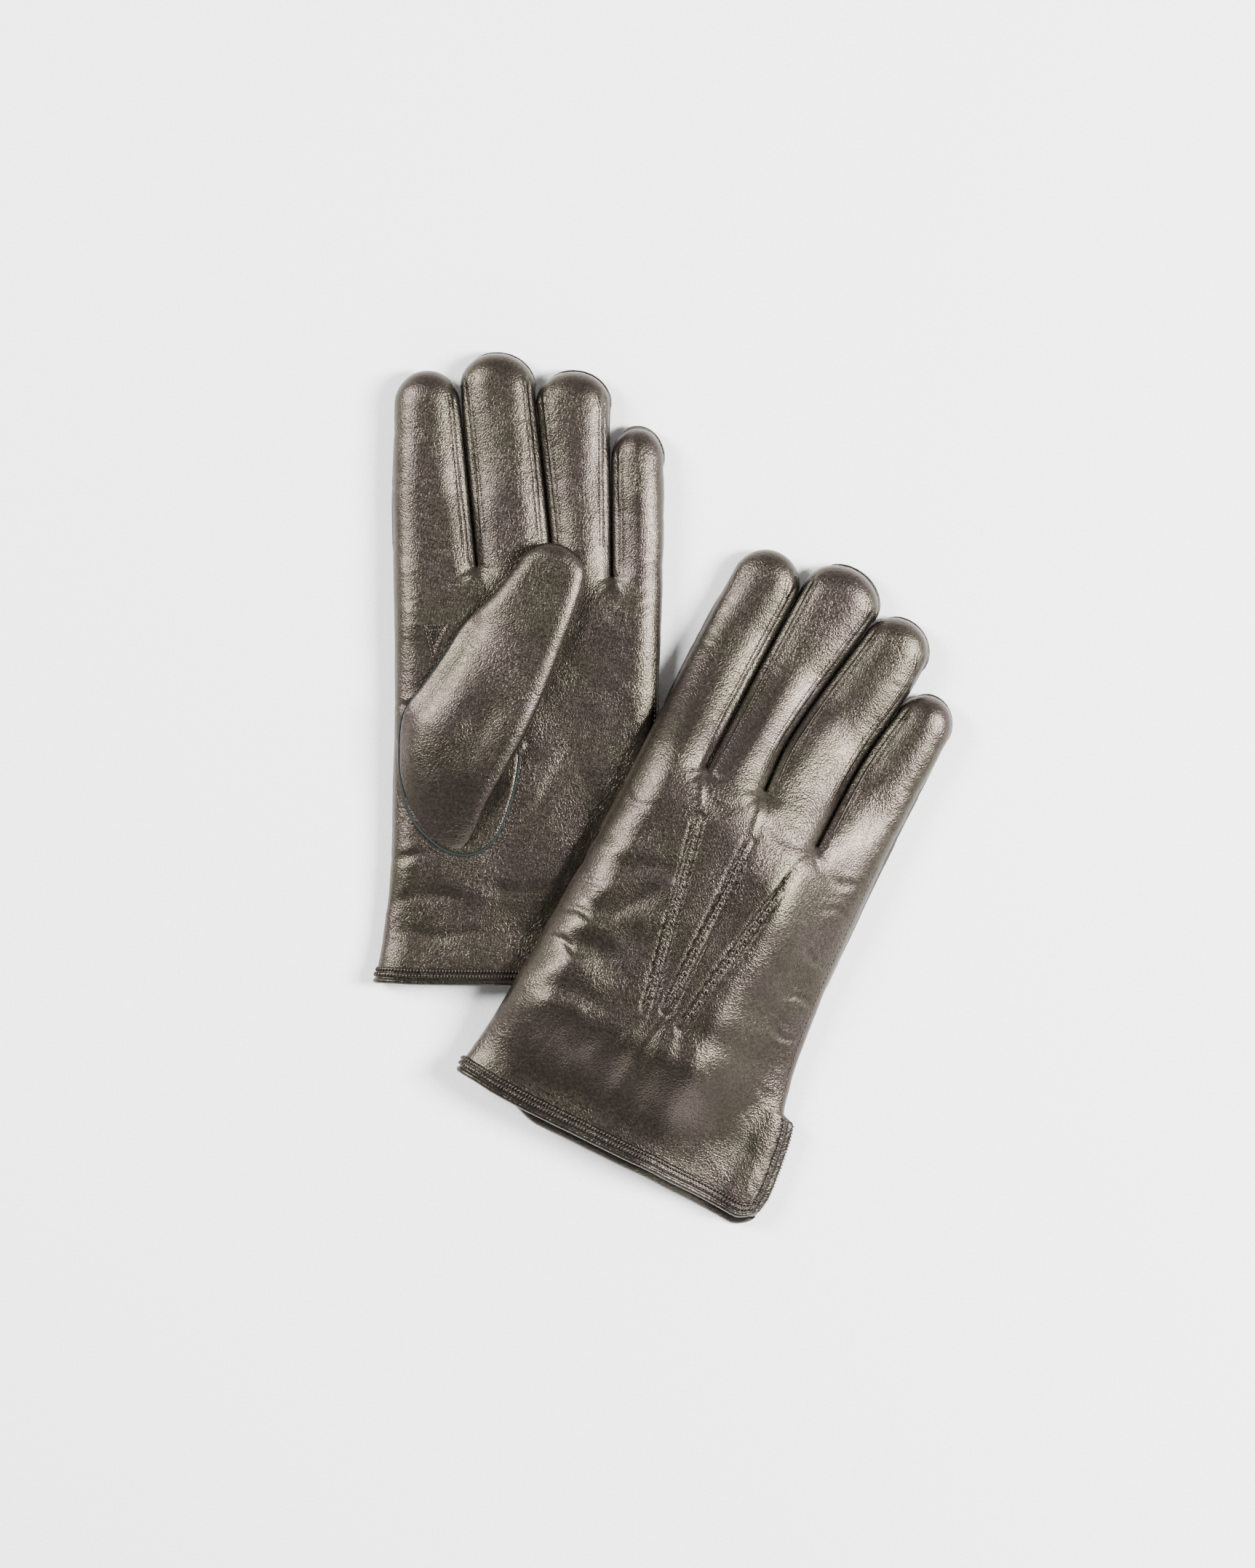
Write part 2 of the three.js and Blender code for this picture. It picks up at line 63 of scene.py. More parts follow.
# The height of a finger's side beside a slit, as a share of its half thickness, by the distance in from it.
SHOULDER = [(0, 0.46), (1.3, 0.6), (2.9, 0.76), (5, 0.87), (8, 0.96), (12, 1.0)]
BIND_OUT = 0.9
RIB_HIGH = 1.0
VENT_LONG = 41
SEAM_IN = 2.9  # from a finger's edge to the seam of its fourchette
THUMB_CLEAR = 0.7
THUMB_SUNK = 3.0
THUMB_SPAN = 88
THUMB_ROUND = 6.5  # how far in from the outline the thumb curves down
THUMB_ROOT = (-28.0, 95.0)
THUMB_EDGE = [  # round the left thumb, from the bottom of its oval seam
    (-27, 51.5), (-37, 54.5), (-45, 63), (-49.5, 75), (-51, 90), (-49.5, 105), (-41, 117.5), (-33, 129.5),
    (-26.5, 140), (-15.5, 152), (-7, 163), (-2.5, 169), (5, 172.5), (14, 170.5), (20, 163.5), (20, 155.5),
    (15, 140), (8, 120), (0, 100.5), (-8.5, 84), (-17, 68), (-21.5, 57.5),
]
THUMB_LEAN = 27.5  # the lean that the outline above is given for
THUMB_RISE = [(-46, 0.0), (-38, 0.24), (-30, 0.46), (-20, 0.68), (-10, 0.85), (0, 0.95), (12, 1.0), (24, 1.0)]
SEWN_SOFT = 7.5  # how gently the thumb rises from its sewn edge
FINGERS = ("index", "middle", "ring", "little")

LEFT = dict(
    name="left",
    palm=1,
    origin=(-53.7, -76.7),
    turn=-1,
    outer=[
        (0, -59), (15, -56.5), (35, -54.5), (60, -53.5), (110, -53.5), (150, -54.5), (190, -56), (215, -55.5),
    ],
    inner=[(0, 60), (15, 57), (35, 54), (60, 51.5), (110, 50.5), (150, 51), (180, 51.5), (205, 50.5)],
    slits=[
        [(150, -21), (163, -22), (236, -30.5)],
        [(150, 8.5), (171, 7), (232, -0.5)],
        [(150, 31), (160, 31), (217, 29.5)],
    ],
    crotches=[163, 171, 160],
    tips=[239.5, 247, 240.5, 219],
    creases=[167, 174, 174, 164],
    bends=[(163.5, 171), (171, 178), (171, 178), (160.5, 168)],
    thickness=[(0, 10.5), (30, 11), (80, 12), (130, 13.5), (158, 15)],
    pressed=1.6,
    thumb=dict(thick=12.0, crease=6.0, long=88.0, lean=27.5, bend=(1.0, 13.0)),
)
RIGHT = dict(
    name="right",
    palm=-1,
    origin=(-25.2, -138.8),
    turn=-28,
    outer=[
        (0, -62), (15, -60), (35, -58.5), (60, -57.5), (110, -57), (150, -57.5), (190, -58.5), (210, -58.5),
    ],
    inner=[
        (0, 66), (10, 67), (25, 65.5), (40, 62.5), (55, 56.5), (75, 53), (95, 51), (120, 49.5), (150, 48),
        (200, 47),
    ],
    slits=[
        [(130, -31), (150, -31.5), (232, -31.5)],
        [(130, -6), (150, -7), (175, -8), (233, 0)],
        [(130, 21), (141, 21), (180, 21.5), (214, 26)],
    ],
    crotches=[149, 152, 142],
    tips=[237.5, 245.5, 237.5, 216],
    creases=[164, 168, 168, 159],
    bends=[(154, 174), (156, 180), (156, 180), (149, 169)],
    thickness=[(0, 10.5), (30, 11), (80, 12), (125, 13.5), (150, 15)],
    pressed=0.0,
    thumb=dict(thick=7.6, crease=27.0, long=74.0, lean=29.0, bend=(17.0, 37.0)),
)
POINTS = [((-25, 130), (-8, 56)), ((-3.5, 131), (-1, 59)), ((17, 128), (7, 56))]
OVAL = [
    (-51, 106), (-52, 90), (-50.5, 76), (-47, 65), (-40, 56), (-30, 50.5), (-22, 50), (-15, 54), (-10, 62),
    (-6, 75), (-4, 88), (-5, 96),
]
QUIRK = [(-42, 139.5), (-32.5, 140), (-38.5, 127)]


# ---------------------------------------------------------------- small maths
def fade(a, b, v):
    t = np.clip((np.asarray(v, float) - a) / (b - a), 0, 1)
    return t * t * (3 - 2 * t)


def unit(v):
    return v / np.maximum(np.linalg.norm(v, axis=1, keepdims=True), 1e-12)


def run_along(line):
    """How far along a polyline each of its points is."""
    return np.concatenate([[0], np.cumsum(np.linalg.norm(np.diff(line, axis=0), axis=1))])


def resample(line, s, at):
    """The line's places at the distances `at`, where s is how far along each of its points is."""
    return np.stack([np.interp(at, s, line[:, k]) for k in range(line.shape[1])], 1)


def through(pairs, at):
    """A smooth value through (at, value) pairs, level past both ends."""
    xs = np.array([p[0] for p in pairs], float)
    vs = np.array([p[1] for p in pairs], float)
    slope = np.empty(len(xs))
    slope[1:-1] = (vs[2:] - vs[:-2]) / (xs[2:] - xs[:-2])
    slope[0] = (vs[1] - vs[0]) / (xs[1] - xs[0])
    slope[-1] = (vs[-1] - vs[-2]) / (xs[-1] - xs[-2])
    q = np.clip(np.asarray(at, float), xs[0], xs[-1])
    i = np.clip(np.searchsorted(xs, q, side="right") - 1, 0, len(xs) - 2)
    w = xs[i + 1] - xs[i]
    t = (q - xs[i]) / w
    return (
        vs[i] * (1 + 2 * t) * (1 - t) ** 2
        + slope[i] * w * t * (1 - t) ** 2
        + vs[i + 1] * t * t * (3 - 2 * t)
        - slope[i + 1] * w * t * t * (1 - t)
    )


def smooth_line(points, step=0.7, closed=False):
    """Points every `step` along a smooth curve through the given ones."""
    p = np.array(points, float)
    n = len(p)
    out = []
    for i in range(n if closed else n - 1):
        if closed:
            a, b, c, d = (p[(i + k) % n] for k in (-1, 0, 1, 2))
        else:
            a, b, c, d = p[max(i - 1, 0)], p[i], p[i + 1], p[min(i + 2, n - 1)]
        m = max(2, int(math.dist(b, c) / step) + 1)
        t = np.linspace(0, 1, m, endpoint=False)[:, None]
        square = (2 * a - 5 * b + 4 * c - d) * t**2
        out.append(0.5 * (2 * b + (c - a) * t + square + (3 * b - a - 3 * c + d) * t**3))
    if not closed:
        out.append(p[-1:])
    return np.concatenate(out)


rng = np.random.default_rng(7)
LATTICE = rng.uniform(-1, 1, (64, 64, 16))


def noise(x, y, z=0.0):
    """Smooth noise from -1 to 1 with a period of 64."""
    x, y, z = np.broadcast_arrays(x, y, z)
    xi, yi, zi = (np.floor(v).astype(int) for v in (x, y, z))
    fx, fy, fz = x - xi, y - yi, z - zi
    fx, fy, fz = (f * f * f * (f * (f * 6 - 15) + 10) for f in (fx, fy, fz))

    def at(a, b, c):
        return LATTICE[(xi + a) % 64, (yi + b) % 64, (zi + c) % 16]

    def layer(c):
        near = at(0, 0, c) * (1 - fx) + at(1, 0, c) * fx
        far = at(0, 1, c) * (1 - fx) + at(1, 1, c) * fx
        return near * (1 - fy) + far * fy

    return layer(0) * (1 - fz) + layer(1) * fz


# ---------------------------------------------------------------- how a glove lies
def thick(g, x, y):
    return through(g["thickness"], y) - g["pressed"] * fade(5, 35, x) * fade(90, 50, y)


def lying(g, x, y):
    cuff = BIND_OUT * (1 - fade(8, 26, y))
    if g["palm"] > 0:
        return np.maximum(cuff, (RIB_HIGH + 0.4) * fade(8, 50, y) * fade(158, 136, y))
    side = np.where(x < -42, 1 - 0.26 * fade(-42, -60, x), 1 - fade(16, 54, x))
    early = fade(-20, 40, x)
    start, end = 128 - 22 * early, 208 - 30 * early
    t = np.clip((y - start) / (end - start), 0, 1)
    return cuff + 19.5 * side * (1 - 0.55 * fade(45, 8, y)) * (1 - t * t * (3 - 2 * t))


def put(g, flat):
    """Flat-space points laid on the table, in metres."""
    x, y, e = np.asarray(flat, float).T
    z = lying(g, x, y) + thick(g, x, y) / 2 + g["palm"] * e
    a = math.radians(g["turn"])
    wx = g["origin"][0] + x * math.cos(a) - y * math.sin(a)
    wy = g["origin"][1] + x * math.sin(a) + y * math.cos(a)
    return np.stack([wx, wy, z], 1) / 1000


def sides(g, i, y):
    low = through(g["outer"], y) if i == 0 else through(g["slits"][i - 1], y) + SLIT / 2
    high = through(g["inner"], y) if i == 3 else through(g["slits"][i], y) - SLIT / 2
    return low, high


def held(g, i, y):
    """How far finger i is held off the slit on its low side and on its high side while meshed."""
    low = 0 * y if i == 0 else SPREAD * fade(g["crotches"][i - 1] - 1, g["crotches"][i - 1] + 9, y)
    high = 0 * y if i == 3 else SPREAD * fade(g["crotches"][i] - 1, g["crotches"][i] + 9, y)
    return low, high


def finger_of(g, x, y):
    """Which finger a point belongs to."""
    return sum((x > through(g["slits"][k], y)).astype(int) for k in range(3))


def close_fingers(g, flat):
    """Takes the meshed, spread fingers back to their real widths."""
    out = flat.copy()
    which = finger_of(g, flat[:, 0], flat[:, 1])
    for i in range(4):
        m = (which == i) & (flat[:, 1] > min(g["crotches"]) - 4)
        y = flat[m, 1]
        low, high = sides(g, i, y)
        a, b = held(g, i, y)
        out[m, 0] = low + (flat[m, 0] - low - a) * (high - low) / (high - low - a - b)
    return out


def by_slit(g, x, y):
    """1 beside a slit, and 0 at the fingertips and over the rest of the hand."""
    w = np.zeros(np.shape(x))
    for k in range(3):
        tip = min(g["tips"][k], g["tips"][k + 1])
        near = fade(15, 8, np.abs(x - through(g["slits"][k], y)))
        span = fade(g["crotches"][k] - 14, g["crotches"][k] + 4, y) * fade(tip - 6, tip - 20, y)
        w = np.maximum(w, near * span)
    return w


# ---------------------------------------------------------------- outlines and distances
def hand_outline(g):
    """The glove seen flat, with its fingers held off their slits, open past the cuff."""
    pts = []
    for i in range(4):
        bend = g["tips"][i] - TIP_ROUND
        first = -20 if i == 0 else g["crotches"][i - 1]
        ys = np.arange(first, bend, 0.6)
        low = sides(g, i, ys)[0] + held(g, i, ys)[0]
        pts.append(np.stack([low, ys], 1))
        lo, hi = sides(g, i, np.array([bend]))
        a, b = held(g, i, np.array([bend]))
        lo, hi = (lo + a)[0], (hi - b)[0]
        t = np.linspace(math.pi, 0, 60)
        pts.append(np.stack([(lo + hi) / 2 + (hi - lo) / 2 * np.cos(t), bend + TIP_ROUND * np.sin(t)], 1))
        last = -20 if i == 3 else g["crotches"][i]
        ys = np.arange(bend, last, -0.6)
        high = sides(g, i, ys)[1] - held(g, i, ys)[1]
        pts.append(np.stack([high, ys], 1))
    return np.concatenate(pts)


def thumb_frame(g):
    a = math.radians(g["thumb"]["lean"])
    return np.array([math.sin(a), math.cos(a)]), np.array([math.cos(a), -math.sin(a)])


def thumb_place(g, x, y):
    """How far along the thumb from its root a place is, and how far across."""
    along, across = thumb_frame(g)
    x, y = x - THUMB_ROOT[0], y - THUMB_ROOT[1]
    return x * along[0] + y * along[1], x * across[0] + y * across[1]


def thumb_outline(g):
    return smooth_line(thumb_point(g, THUMB_EDGE), 0.7, True)


def thumb_point(g, points):
    """Points of the left thumb's outline, turned and shortened past the root to suit this glove."""
    p = np.atleast_2d(np.array(points, float)) - THUMB_ROOT
    a = math.radians(THUMB_LEAN)
    s = p @ np.array([math.sin(a), math.cos(a)])
    u = p @ np.array([math.cos(a), -math.sin(a)])
    along, across = thumb_frame(g)
    out = fade(0, 12, s)
    s = s * (1 - out + out * g["thumb"]["long"] / THUMB_SPAN)
    turned = np.outer(s, along) + np.outer(u, across) + THUMB_ROOT
    return (p + THUMB_ROOT) * (1 - out[:, None]) + turned * out[:, None]


def inside(poly, x, y):
    """Even-odd test of grid points against a closed polygon."""
    hit = np.zeros(x.shape, bool)
    a, b = poly, np.roll(poly, -1, 0)
    for (x0, y0), (x1, y1) in zip(a, b):
        if y0 == y1:
            continue
        m = (y0 > y) != (y1 > y)
        if m.any():
            hit[m] ^= x[m] < (x1 - x0) * (y[m] - y0) / (y1 - y0) + x0
    return hit


def near_line(points, x, y, closed=False):
    """Distance of each point from a polyline, and how far along the line the nearest place is."""
    p = np.asarray(points, float)
    if closed:
        p = np.concatenate([p, p[:1]])
    length = run_along(p)
    tree = KDTree(len(p))
    for i, (a, b) in enumerate(p):
        tree.insert((a, b, 0), i)
    tree.balance()
    q = np.stack([np.ravel(x), np.ravel(y)], 1)
    k = np.fromiter((tree.find((a, b, 0))[1] for a, b in q), int, len(q))
    best = np.full(len(q), 1e9)
    where = np.zeros(len(q))
    for lo in (k - 1, k):
        i = np.clip(lo, 0, len(p) - 2)
        d = p[i + 1] - p[i]
        t = np.clip(((q - p[i]) * d).sum(1) / np.maximum((d * d).sum(1), 1e-12), 0, 1)
        r = np.linalg.norm(q - p[i] - d * t[:, None], axis=1)
        m = r < best
        best[m] = r[m]
        where[m] = (length[i] + t * (length[i + 1] - length[i]))[m]
    return best.reshape(np.shape(x)), where.reshape(np.shape(x))


def depth_in(outline, x, y):
    """How far inside a closed outline each point is, negative outside it."""
    d, _ = near_line(outline, x, y, closed=True)
    return np.where(inside(outline, x, y), d, -d)


# ---------------------------------------------------------------- meshing
def pillow(es, mid, half, d, edge_round):
    """A field, negative inside a form of half thickness `half` about mid, rounded down at its edge."""
    a = np.maximum((edge_round - d) / edge_round, 0)[:, :, None]
    b = np.abs(es[None, None, :] - mid[:, :, None]) / half[:, :, None]
    return ((a**BULGE + b**BULGE) ** (1 / BULGE) - 1) * half[:, :, None]


def soft_max(a, b, k):
    h = np.maximum(k - np.abs(a - b), 0) / k
    return np.maximum(a, b) + h * h * k / 4


def surface_nets(field, low, step):
    """A quad mesh of field = 0, from a grid of values that are negative inside."""
    neg = field < 0
    nx, ny, nz = field.shape
    total = np.zeros((nx - 1, ny - 1, nz - 1, 3))
    count = np.zeros((nx - 1, ny - 1, nz - 1))
    corner = [(a, b, c) for a in (0, 1) for b in (0, 1) for c in (0, 1)]

    def part(grid, c):
        return grid[c[0]: nx - 1 + c[0], c[1]: ny - 1 + c[1], c[2]: nz - 1 + c[2]]

    for axis in range(3):
        for c in corner:
            if c[axis]:
                continue
            d = tuple(1 if k == axis else c[k] for k in range(3))
            cross = part(neg, c) != part(neg, d)
            f0, f1 = part(field, c)[cross], part(field, d)[cross]
            t = f0 / (f0 - f1)
            where = np.array(c, float) + np.outer(t, np.eye(3)[axis])
            total[cross] += where
            count[cross] += 1
    cells = np.argwhere(count > 0)
    index = -np.ones(count.shape, int)
    index[tuple(cells.T)] = np.arange(len(cells))
    verts = (cells + total[tuple(cells.T)] / count[tuple(cells.T)][:, None]) * step + low
    faces = []
    for axis in range(3):
        b, c = (axis + 1) % 3, (axis + 2) % 3
        lo = [slice(None)] * 3
        hi = [slice(None)] * 3
        lo[axis], hi[axis] = slice(0, -1), slice(1, None)
        cross = neg[tuple(lo)] != neg[tuple(hi)]
        at = np.argwhere(cross)
        last = np.array(field.shape)[[b, c]] - 1
        at = at[((at[:, [b, c]] > 0) & (at[:, [b, c]] < last)).all(1)]
        sign = neg[tuple(at.T)]
        ring = []
        for db, dc in ((0, 0), (1, 0), (1, 1), (0, 1)):
            p = at.copy()
            p[:, b] -= db
            p[:, c] -= dc
            ring.append(index[tuple(p.T)])
        quad = np.stack(ring, 1)
        quad[~sign] = quad[~sign][:, ::-1]
        faces.append(quad)
    faces = np.concatenate(faces)
    return verts, faces[(faces >= 0).all(1)]


def mesh_normals(verts, faces):
    a, b, c, d = (verts[faces[:, k]] for k in range(4))
    n = np.cross(c - a, d - b)
    out = np.zeros_like(verts)
    for k in range(4):
        np.add.at(out, faces[:, k], n)
    return unit(out)


def relax(verts, faces, rounds):
    """Evens out the grid's stepping a little."""
    edges = np.concatenate([faces[:, [k, (k + 1) % 4]] for k in range(4)])
    n = np.bincount(edges[:, 0], minlength=len(verts))[:, None]
    for _ in range(rounds):
        for weight in (0.5, -0.52):
            mean = np.zeros_like(verts)
            np.add.at(mean, edges[:, 0], verts[edges[:, 1]])
            verts = verts + weight * (mean / np.maximum(n, 1) - verts) * (n > 0)
    return verts


def grid_for(x0, x1, y0, y1, e0, e1):
    xs = np.arange(x0, x1, CELL)
    ys = np.arange(y0, y1, CELL)
    es = np.arange(e0 + 0.37 * CELL, e1, CELL)
    return xs, ys, es


def hand_skin(g):
    xs, ys, es = grid_for(-68, 74, -4, 252, -9.5, 9.5)
    gx, gy = np.meshgrid(xs, ys, indexing="ij")
    d = depth_in(hand_outline(g), gx, gy)
    half = thick(g, gx, gy) / 2
    slit = by_slit(g, gx, gy)
    field = pillow(es, 0 * half, half, d, EDGE_ROUND)
    over = np.abs(es)[None, None, :] - (half * through(SHOULDER, d))[:, :, None]
    field += slit[:, :, None] * (soft_max(over, np.broadcast_to(-d[:, :, None], over.shape), 1.0) - field)
    verts, faces = surface_nets(field, np.array([xs[0], ys[0], es[0]]), CELL)
    return close_fingers(g, relax(verts, faces, 2)), faces


def thumb_skin(g):
    xs, ys, es = grid_for(-58, 34, 44, 184, 1, 22)
    gx, gy = np.meshgrid(xs, ys, indexing="ij")
    line = thumb_outline(g)
    d = depth_in(line, gx, gy)
    s, u = thumb_place(g, gx, gy)
    palm = thick(g, gx, gy) / 2
    full = 0.78 * g["thumb"]["thick"] + THUMB_CLEAR
    split = int(np.argmin(np.hypot(*(line - thumb_point(g, THUMB_EDGE[8])).T)))
    sewn, _ = near_line(line[: split + 1], gx, gy)
    top = palm + full * through(THUMB_RISE, s) * (1 - np.exp(-(sewn + 0.3) / SEWN_SOFT))
    freed = 1 - (1 - fade(-14, 8, s)) * (1 - fade(1, 11, u) * fade(-42, -22, s))
    low = palm - THUMB_SUNK + (THUMB_SUNK + THUMB_CLEAR) * freed + 2.4 * fade(2, 14, u) * fade(-30, 0, s)
    top = soft_max(top, low + 3.2, 2.0)
    mid, half = (top + low) / 2, (top - low) / 2
    field = pillow(es, mid, half, d, THUMB_ROUND)
    verts, faces = surface_nets(field, np.array([xs[0], ys[0], es[0]]), CELL)
    return relax(verts, faces, 3), faces


# ---------------------------------------------------------------- wrinkles
def stroke(x, y, points, depth, width):
    """A crease along a line: a valley with a soft lip on each side."""
    d, s = near_line(smooth_line(points, 1.0), x, y)
    total = sum(math.dist(a, b) for a, b in zip(points, points[1:]))
    ends = np.sin(np.pi * np.clip(s / total, 0.02, 0.98)) ** 0.6
    lip = 0.45 * np.exp(-(((d - 1.9 * width) / width) ** 2))
    return -depth * ends * (np.exp(-((d / width) ** 2)) - lip)


LEFT_CREASES = [  # line, depth, width; on the palm
    ([(-50, 29), (-38, 33), (-24, 30), (-12, 33)], 0.8, 5.0),
    ([(-55, 47), (-46, 49), (-36, 52)], 0.6, 1.8),
    ([(-54, 109), (-48, 108), (-42, 110)], 0.8, 1.3),
    ([(-53, 31), (-40, 34), (-24, 33)], 0.5, 2.0),
    ([(26, 152), (33, 143), (43, 139)], 0.25, 2.0),
    ([(30, 128), (38, 120), (48, 116)], 0.25, 2.4),
    ([(-52, 150), (-42, 147), (-30, 149)], 0.2, 1.8),
    ([(-22, 40), (-6, 36), (8, 38)], 0.35, 2.4),
    ([(-4, 60), (6, 72), (14, 90)], 0.45, 2.6),
    ([(-50, 20), (-36, 17), (-20, 20)], 0.35, 1.8),
]
RIGHT_CREASES = [  # on the back
    ([(-8, 58), (-12, 45), (-19, 28)], 0.3, 2.4),
    ([(-1, 61), (-2, 42), (-3, 14)], 1.1, 3.6),
    ([(7, 58), (12, 46), (20, 32)], 0.3, 2.4),
    ([(-5, 58), (-6, 48), (-8, 38)], 0.22, 1.2),
    ([(3, 59), (4, 49), (6, 39)], 0.22, 1.2),
    ([(12, 54), (28, 57), (43, 57)], 0.8, 5.0),
    ([(-52, 60), (-38, 66), (-22, 62)], 0.9, 4.0),
    ([(-50, 78), (-38, 84), (-26, 97)], 0.9, 4.0),
    ([(-54, 40), (-42, 46), (-24, 48)], 0.6, 3.4),
    ([(24, 98), (36, 90), (50, 92)], 0.6, 4.5),
    ([(-31, 146), (-28, 138), (-25, 131)], -0.3, 1.2),
    ([(-6, 150), (-5, 141), (-3.5, 132)], -0.3, 1.2),
    ([(21, 141), (19, 135), (17, 129)], -0.3, 1.2),
    ([(-57, 62), (-49, 64), (-42, 61)], 0.6, 1.3),
    ([(-57, 74), (-50, 77), (-43, 76)], 0.6, 1.3),
    ([(-57, 88), (-50, 89), (-44, 92)], 0.5, 1.3),
    ([(-58, 128), (-50, 124), (-43, 126)], 0.5, 1.4),
    ([(51, 72), (44, 70), (37, 73)], 0.55, 1.3),
    ([(50, 86), (43, 87), (36, 84)], 0.5, 1.3),
    ([(48, 104), (41, 102), (35, 106)], 0.5, 1.4),
    ([(47, 122), (40, 124), (34, 121)], 0.4, 1.4),
    ([(-40, 44), (-30, 34), (-24, 18)], 0.4, 2.6),
    ([(26, 46), (34, 34), (38, 16)], 0.25, 2.6),
    ([(-28, 143), (-20, 137), (-12, 143)], 0.5, 2.2),
    ([(-4, 146), (6, 139), (17, 140)], 0.5, 2.2),
    ([(23, 138), (33, 133), (44, 137)], 0.45, 2.0),
]


def wrinkle(g, flat, edge):
    """How far the leather is pushed out along its normal; edge is the distance from the outline."""
    x, y, e = flat.T
    side = np.where(e > 0, 0.0, 7.3)
    seed = 3.1 if g["palm"] > 0 else 9.7
    out = 0.6 * noise(x / 21 + seed, y / 25, side) + 0.12 * noise(x / 9 + seed, y / 11, side + 3)
    wave = y + 5 * noise(x / 17, y / 19, side + 5)
    ridge = 1 - np.abs(noise(x / 15 + seed, wave / 3.7, side + 1))
    on_finger = fade(min(g["crotches"]) - 5, min(g["crotches"]) + 20, y)
    rim = fade(17, 3, edge) * fade(1.5, 5, edge) * (1 - 0.7 * on_finger)
    zone = fade(0, 14, y) * (0.25 + 0.75 * fade(-0.35, 0.5, noise(x / 30, y / 22 + seed, side + 8)))
    out += 0.2 * rim * zone * (ridge**4 - 0.3)
    if g["palm"] < 0:
        level = 0.883 * y - 0.469 * x
        band = fade(-12, -32, x) * fade(128, 108, y) * fade(28, 50, y)
        out += 0.22 * band * np.sin(2 * math.pi * level / 16 + 2.2 * noise(x / 14, y / 14, 6))
    cuff = fade(70, 20, y) * fade(4, 14, y)
    tall = 1 - np.abs(noise((x + 7 * noise(x / 20, y / 20, 4)) / 8.3 + seed, (y + x / 3) / 17, side + 2))
    out += 0.16 * cuff * (tall**3 - 0.35)
    out += 0.03 * noise(x / 2.6, y / 3.1 + seed, side)
    # the finger joints: short creases across each finger
    for i in range(4):
        m = (finger_of(g, x, y) == i) & (y > g["creases"][i] - 4)
        if not m.any():
            continue
        low, high = sides(g, i, y[m])
        u = (x[m] - (low + high) / 2) / ((high - low) / 2)
        reach = g["tips"][i] - g["creases"][i]
        lump = np.zeros(m.sum())
        for share, depth in ((0.02, 0.5), (0.36, 0.6), (0.42, 0.35), (0.66, 0.5), (0.71, 0.3)):
            at = g["creases"][i] + reach * share + 1.6 * np.sin(3 * u + i * 2.1 + share * 9)
            strength = depth * (0.25 + 0.75 * fade(0.15, 0.95, np.abs(u)))
            lump -= strength * np.exp(-(((y[m] - at) / 1.7) ** 2))
        out[m] += 0.3 * lump
        for from_edge, sewn in ((x[m] - low, i > 0), (high - x[m], i < 3)):
            if sewn:
                at = from_edge - SEAM_IN
                ends = fade(g["tips"][i] - 7, g["tips"][i] - 12, y[m])
                ends = ends * fade(g["creases"][i] - 4, g["creases"][i] + 8, y[m])
                pinch = 0.4 * np.exp(-(((at - 0.55) / 0.7) ** 2)) - 0.4 * np.exp(-(((at + 0.7) / 0.75) ** 2))
                out[m] += ends * pinch
    for top, low in POINTS:
        near = (e < 0) & (np.abs(x - (top[0] + low[0]) / 2) < 20) & (y > 48) & (y < 138)
        d, _ = near_line([top, low], x[near], y[near])
        out[near] -= 0.3 * np.exp(-(((d - 2.0) / 0.9) ** 2))
    shown = e * g["palm"] > -1.5
    for k, low_end in enumerate(g["crotches"]):
        at = float(through(g["slits"][k], low_end))
        near = shown & (np.hypot(x - at, y - low_end) < 16)
        for dx, dy in ((-7, -3), (-4.5, -8), (5, -8), (7.5, -2)):
            line = [(at + dx * p, low_end + dy * q) for p, q in ((0.12, 0.12), (0.6, 0.7), (1, 1))]
            out[near] += stroke(x[near], y[near], line, 0.12, 1.1)
    for line, depth, width in LEFT_CREASES if g["palm"] > 0 else RIGHT_CREASES:
        near = shown & (np.abs(x - np.mean([p[0] for p in line])) < 34)
        near &= np.abs(y - np.mean([p[1] for p in line])) < 34
        if near.any():
            out[near] += 0.6 * stroke(x[near], y[near], line, depth, width)
    return out


# ---------------------------------------------------------------- objects
def make(name, verts, faces, material, flat):
    """A smooth piece; flat holds its points' places on the flat leather, which the grain follows."""
    mesh = bpy.data.meshes.new(name)
    mesh.from_pydata(np.asarray(verts).tolist(), [], [list(map(int, f)) for f in faces])
    mesh.update()
    attribute = mesh.attributes.new("flat", "FLOAT_VECTOR", "POINT")
    attribute.data.foreach_set("vector", np.asarray(flat, np.float32).ravel())
    mesh.polygons.foreach_set("use_smooth", np.ones(len(mesh.polygons), bool))
    obj = bpy.data.objects.new(name, mesh)
    bpy.context.collection.objects.link(obj)
    mesh.materials.append(material)
    return obj


def cut_out(verts, faces, keep):
    """The faces where keep is true, only the vertices they use, and which vertices those were."""
    sub = faces[keep]
    used, back = np.unique(sub, return_inverse=True)
    return verts[used], back.reshape(sub.shape), used


# ---------------------------------------------------------------- materials
def node(tree, kind, **settings):
    n = tree.nodes.new(kind)
    for key, value in settings.items():
        if key.startswith("in_"):
            n.inputs[int(key[3:]) if key[3:].isdigit() else key[3:].replace("_", " ")].default_value = value
        else:
            setattr(n, key, value)
    return n


def map_range(tree, source, *ends):
    """A value taken from one range to another: ends are low and high, then what they become."""
    n = node(tree, "ShaderNodeMapRange")
    for i, value in enumerate(ends):
        n.inputs[i + 1].default_value = value
    tree.links.new(source, n.inputs[0])
    return n.outputs[0]


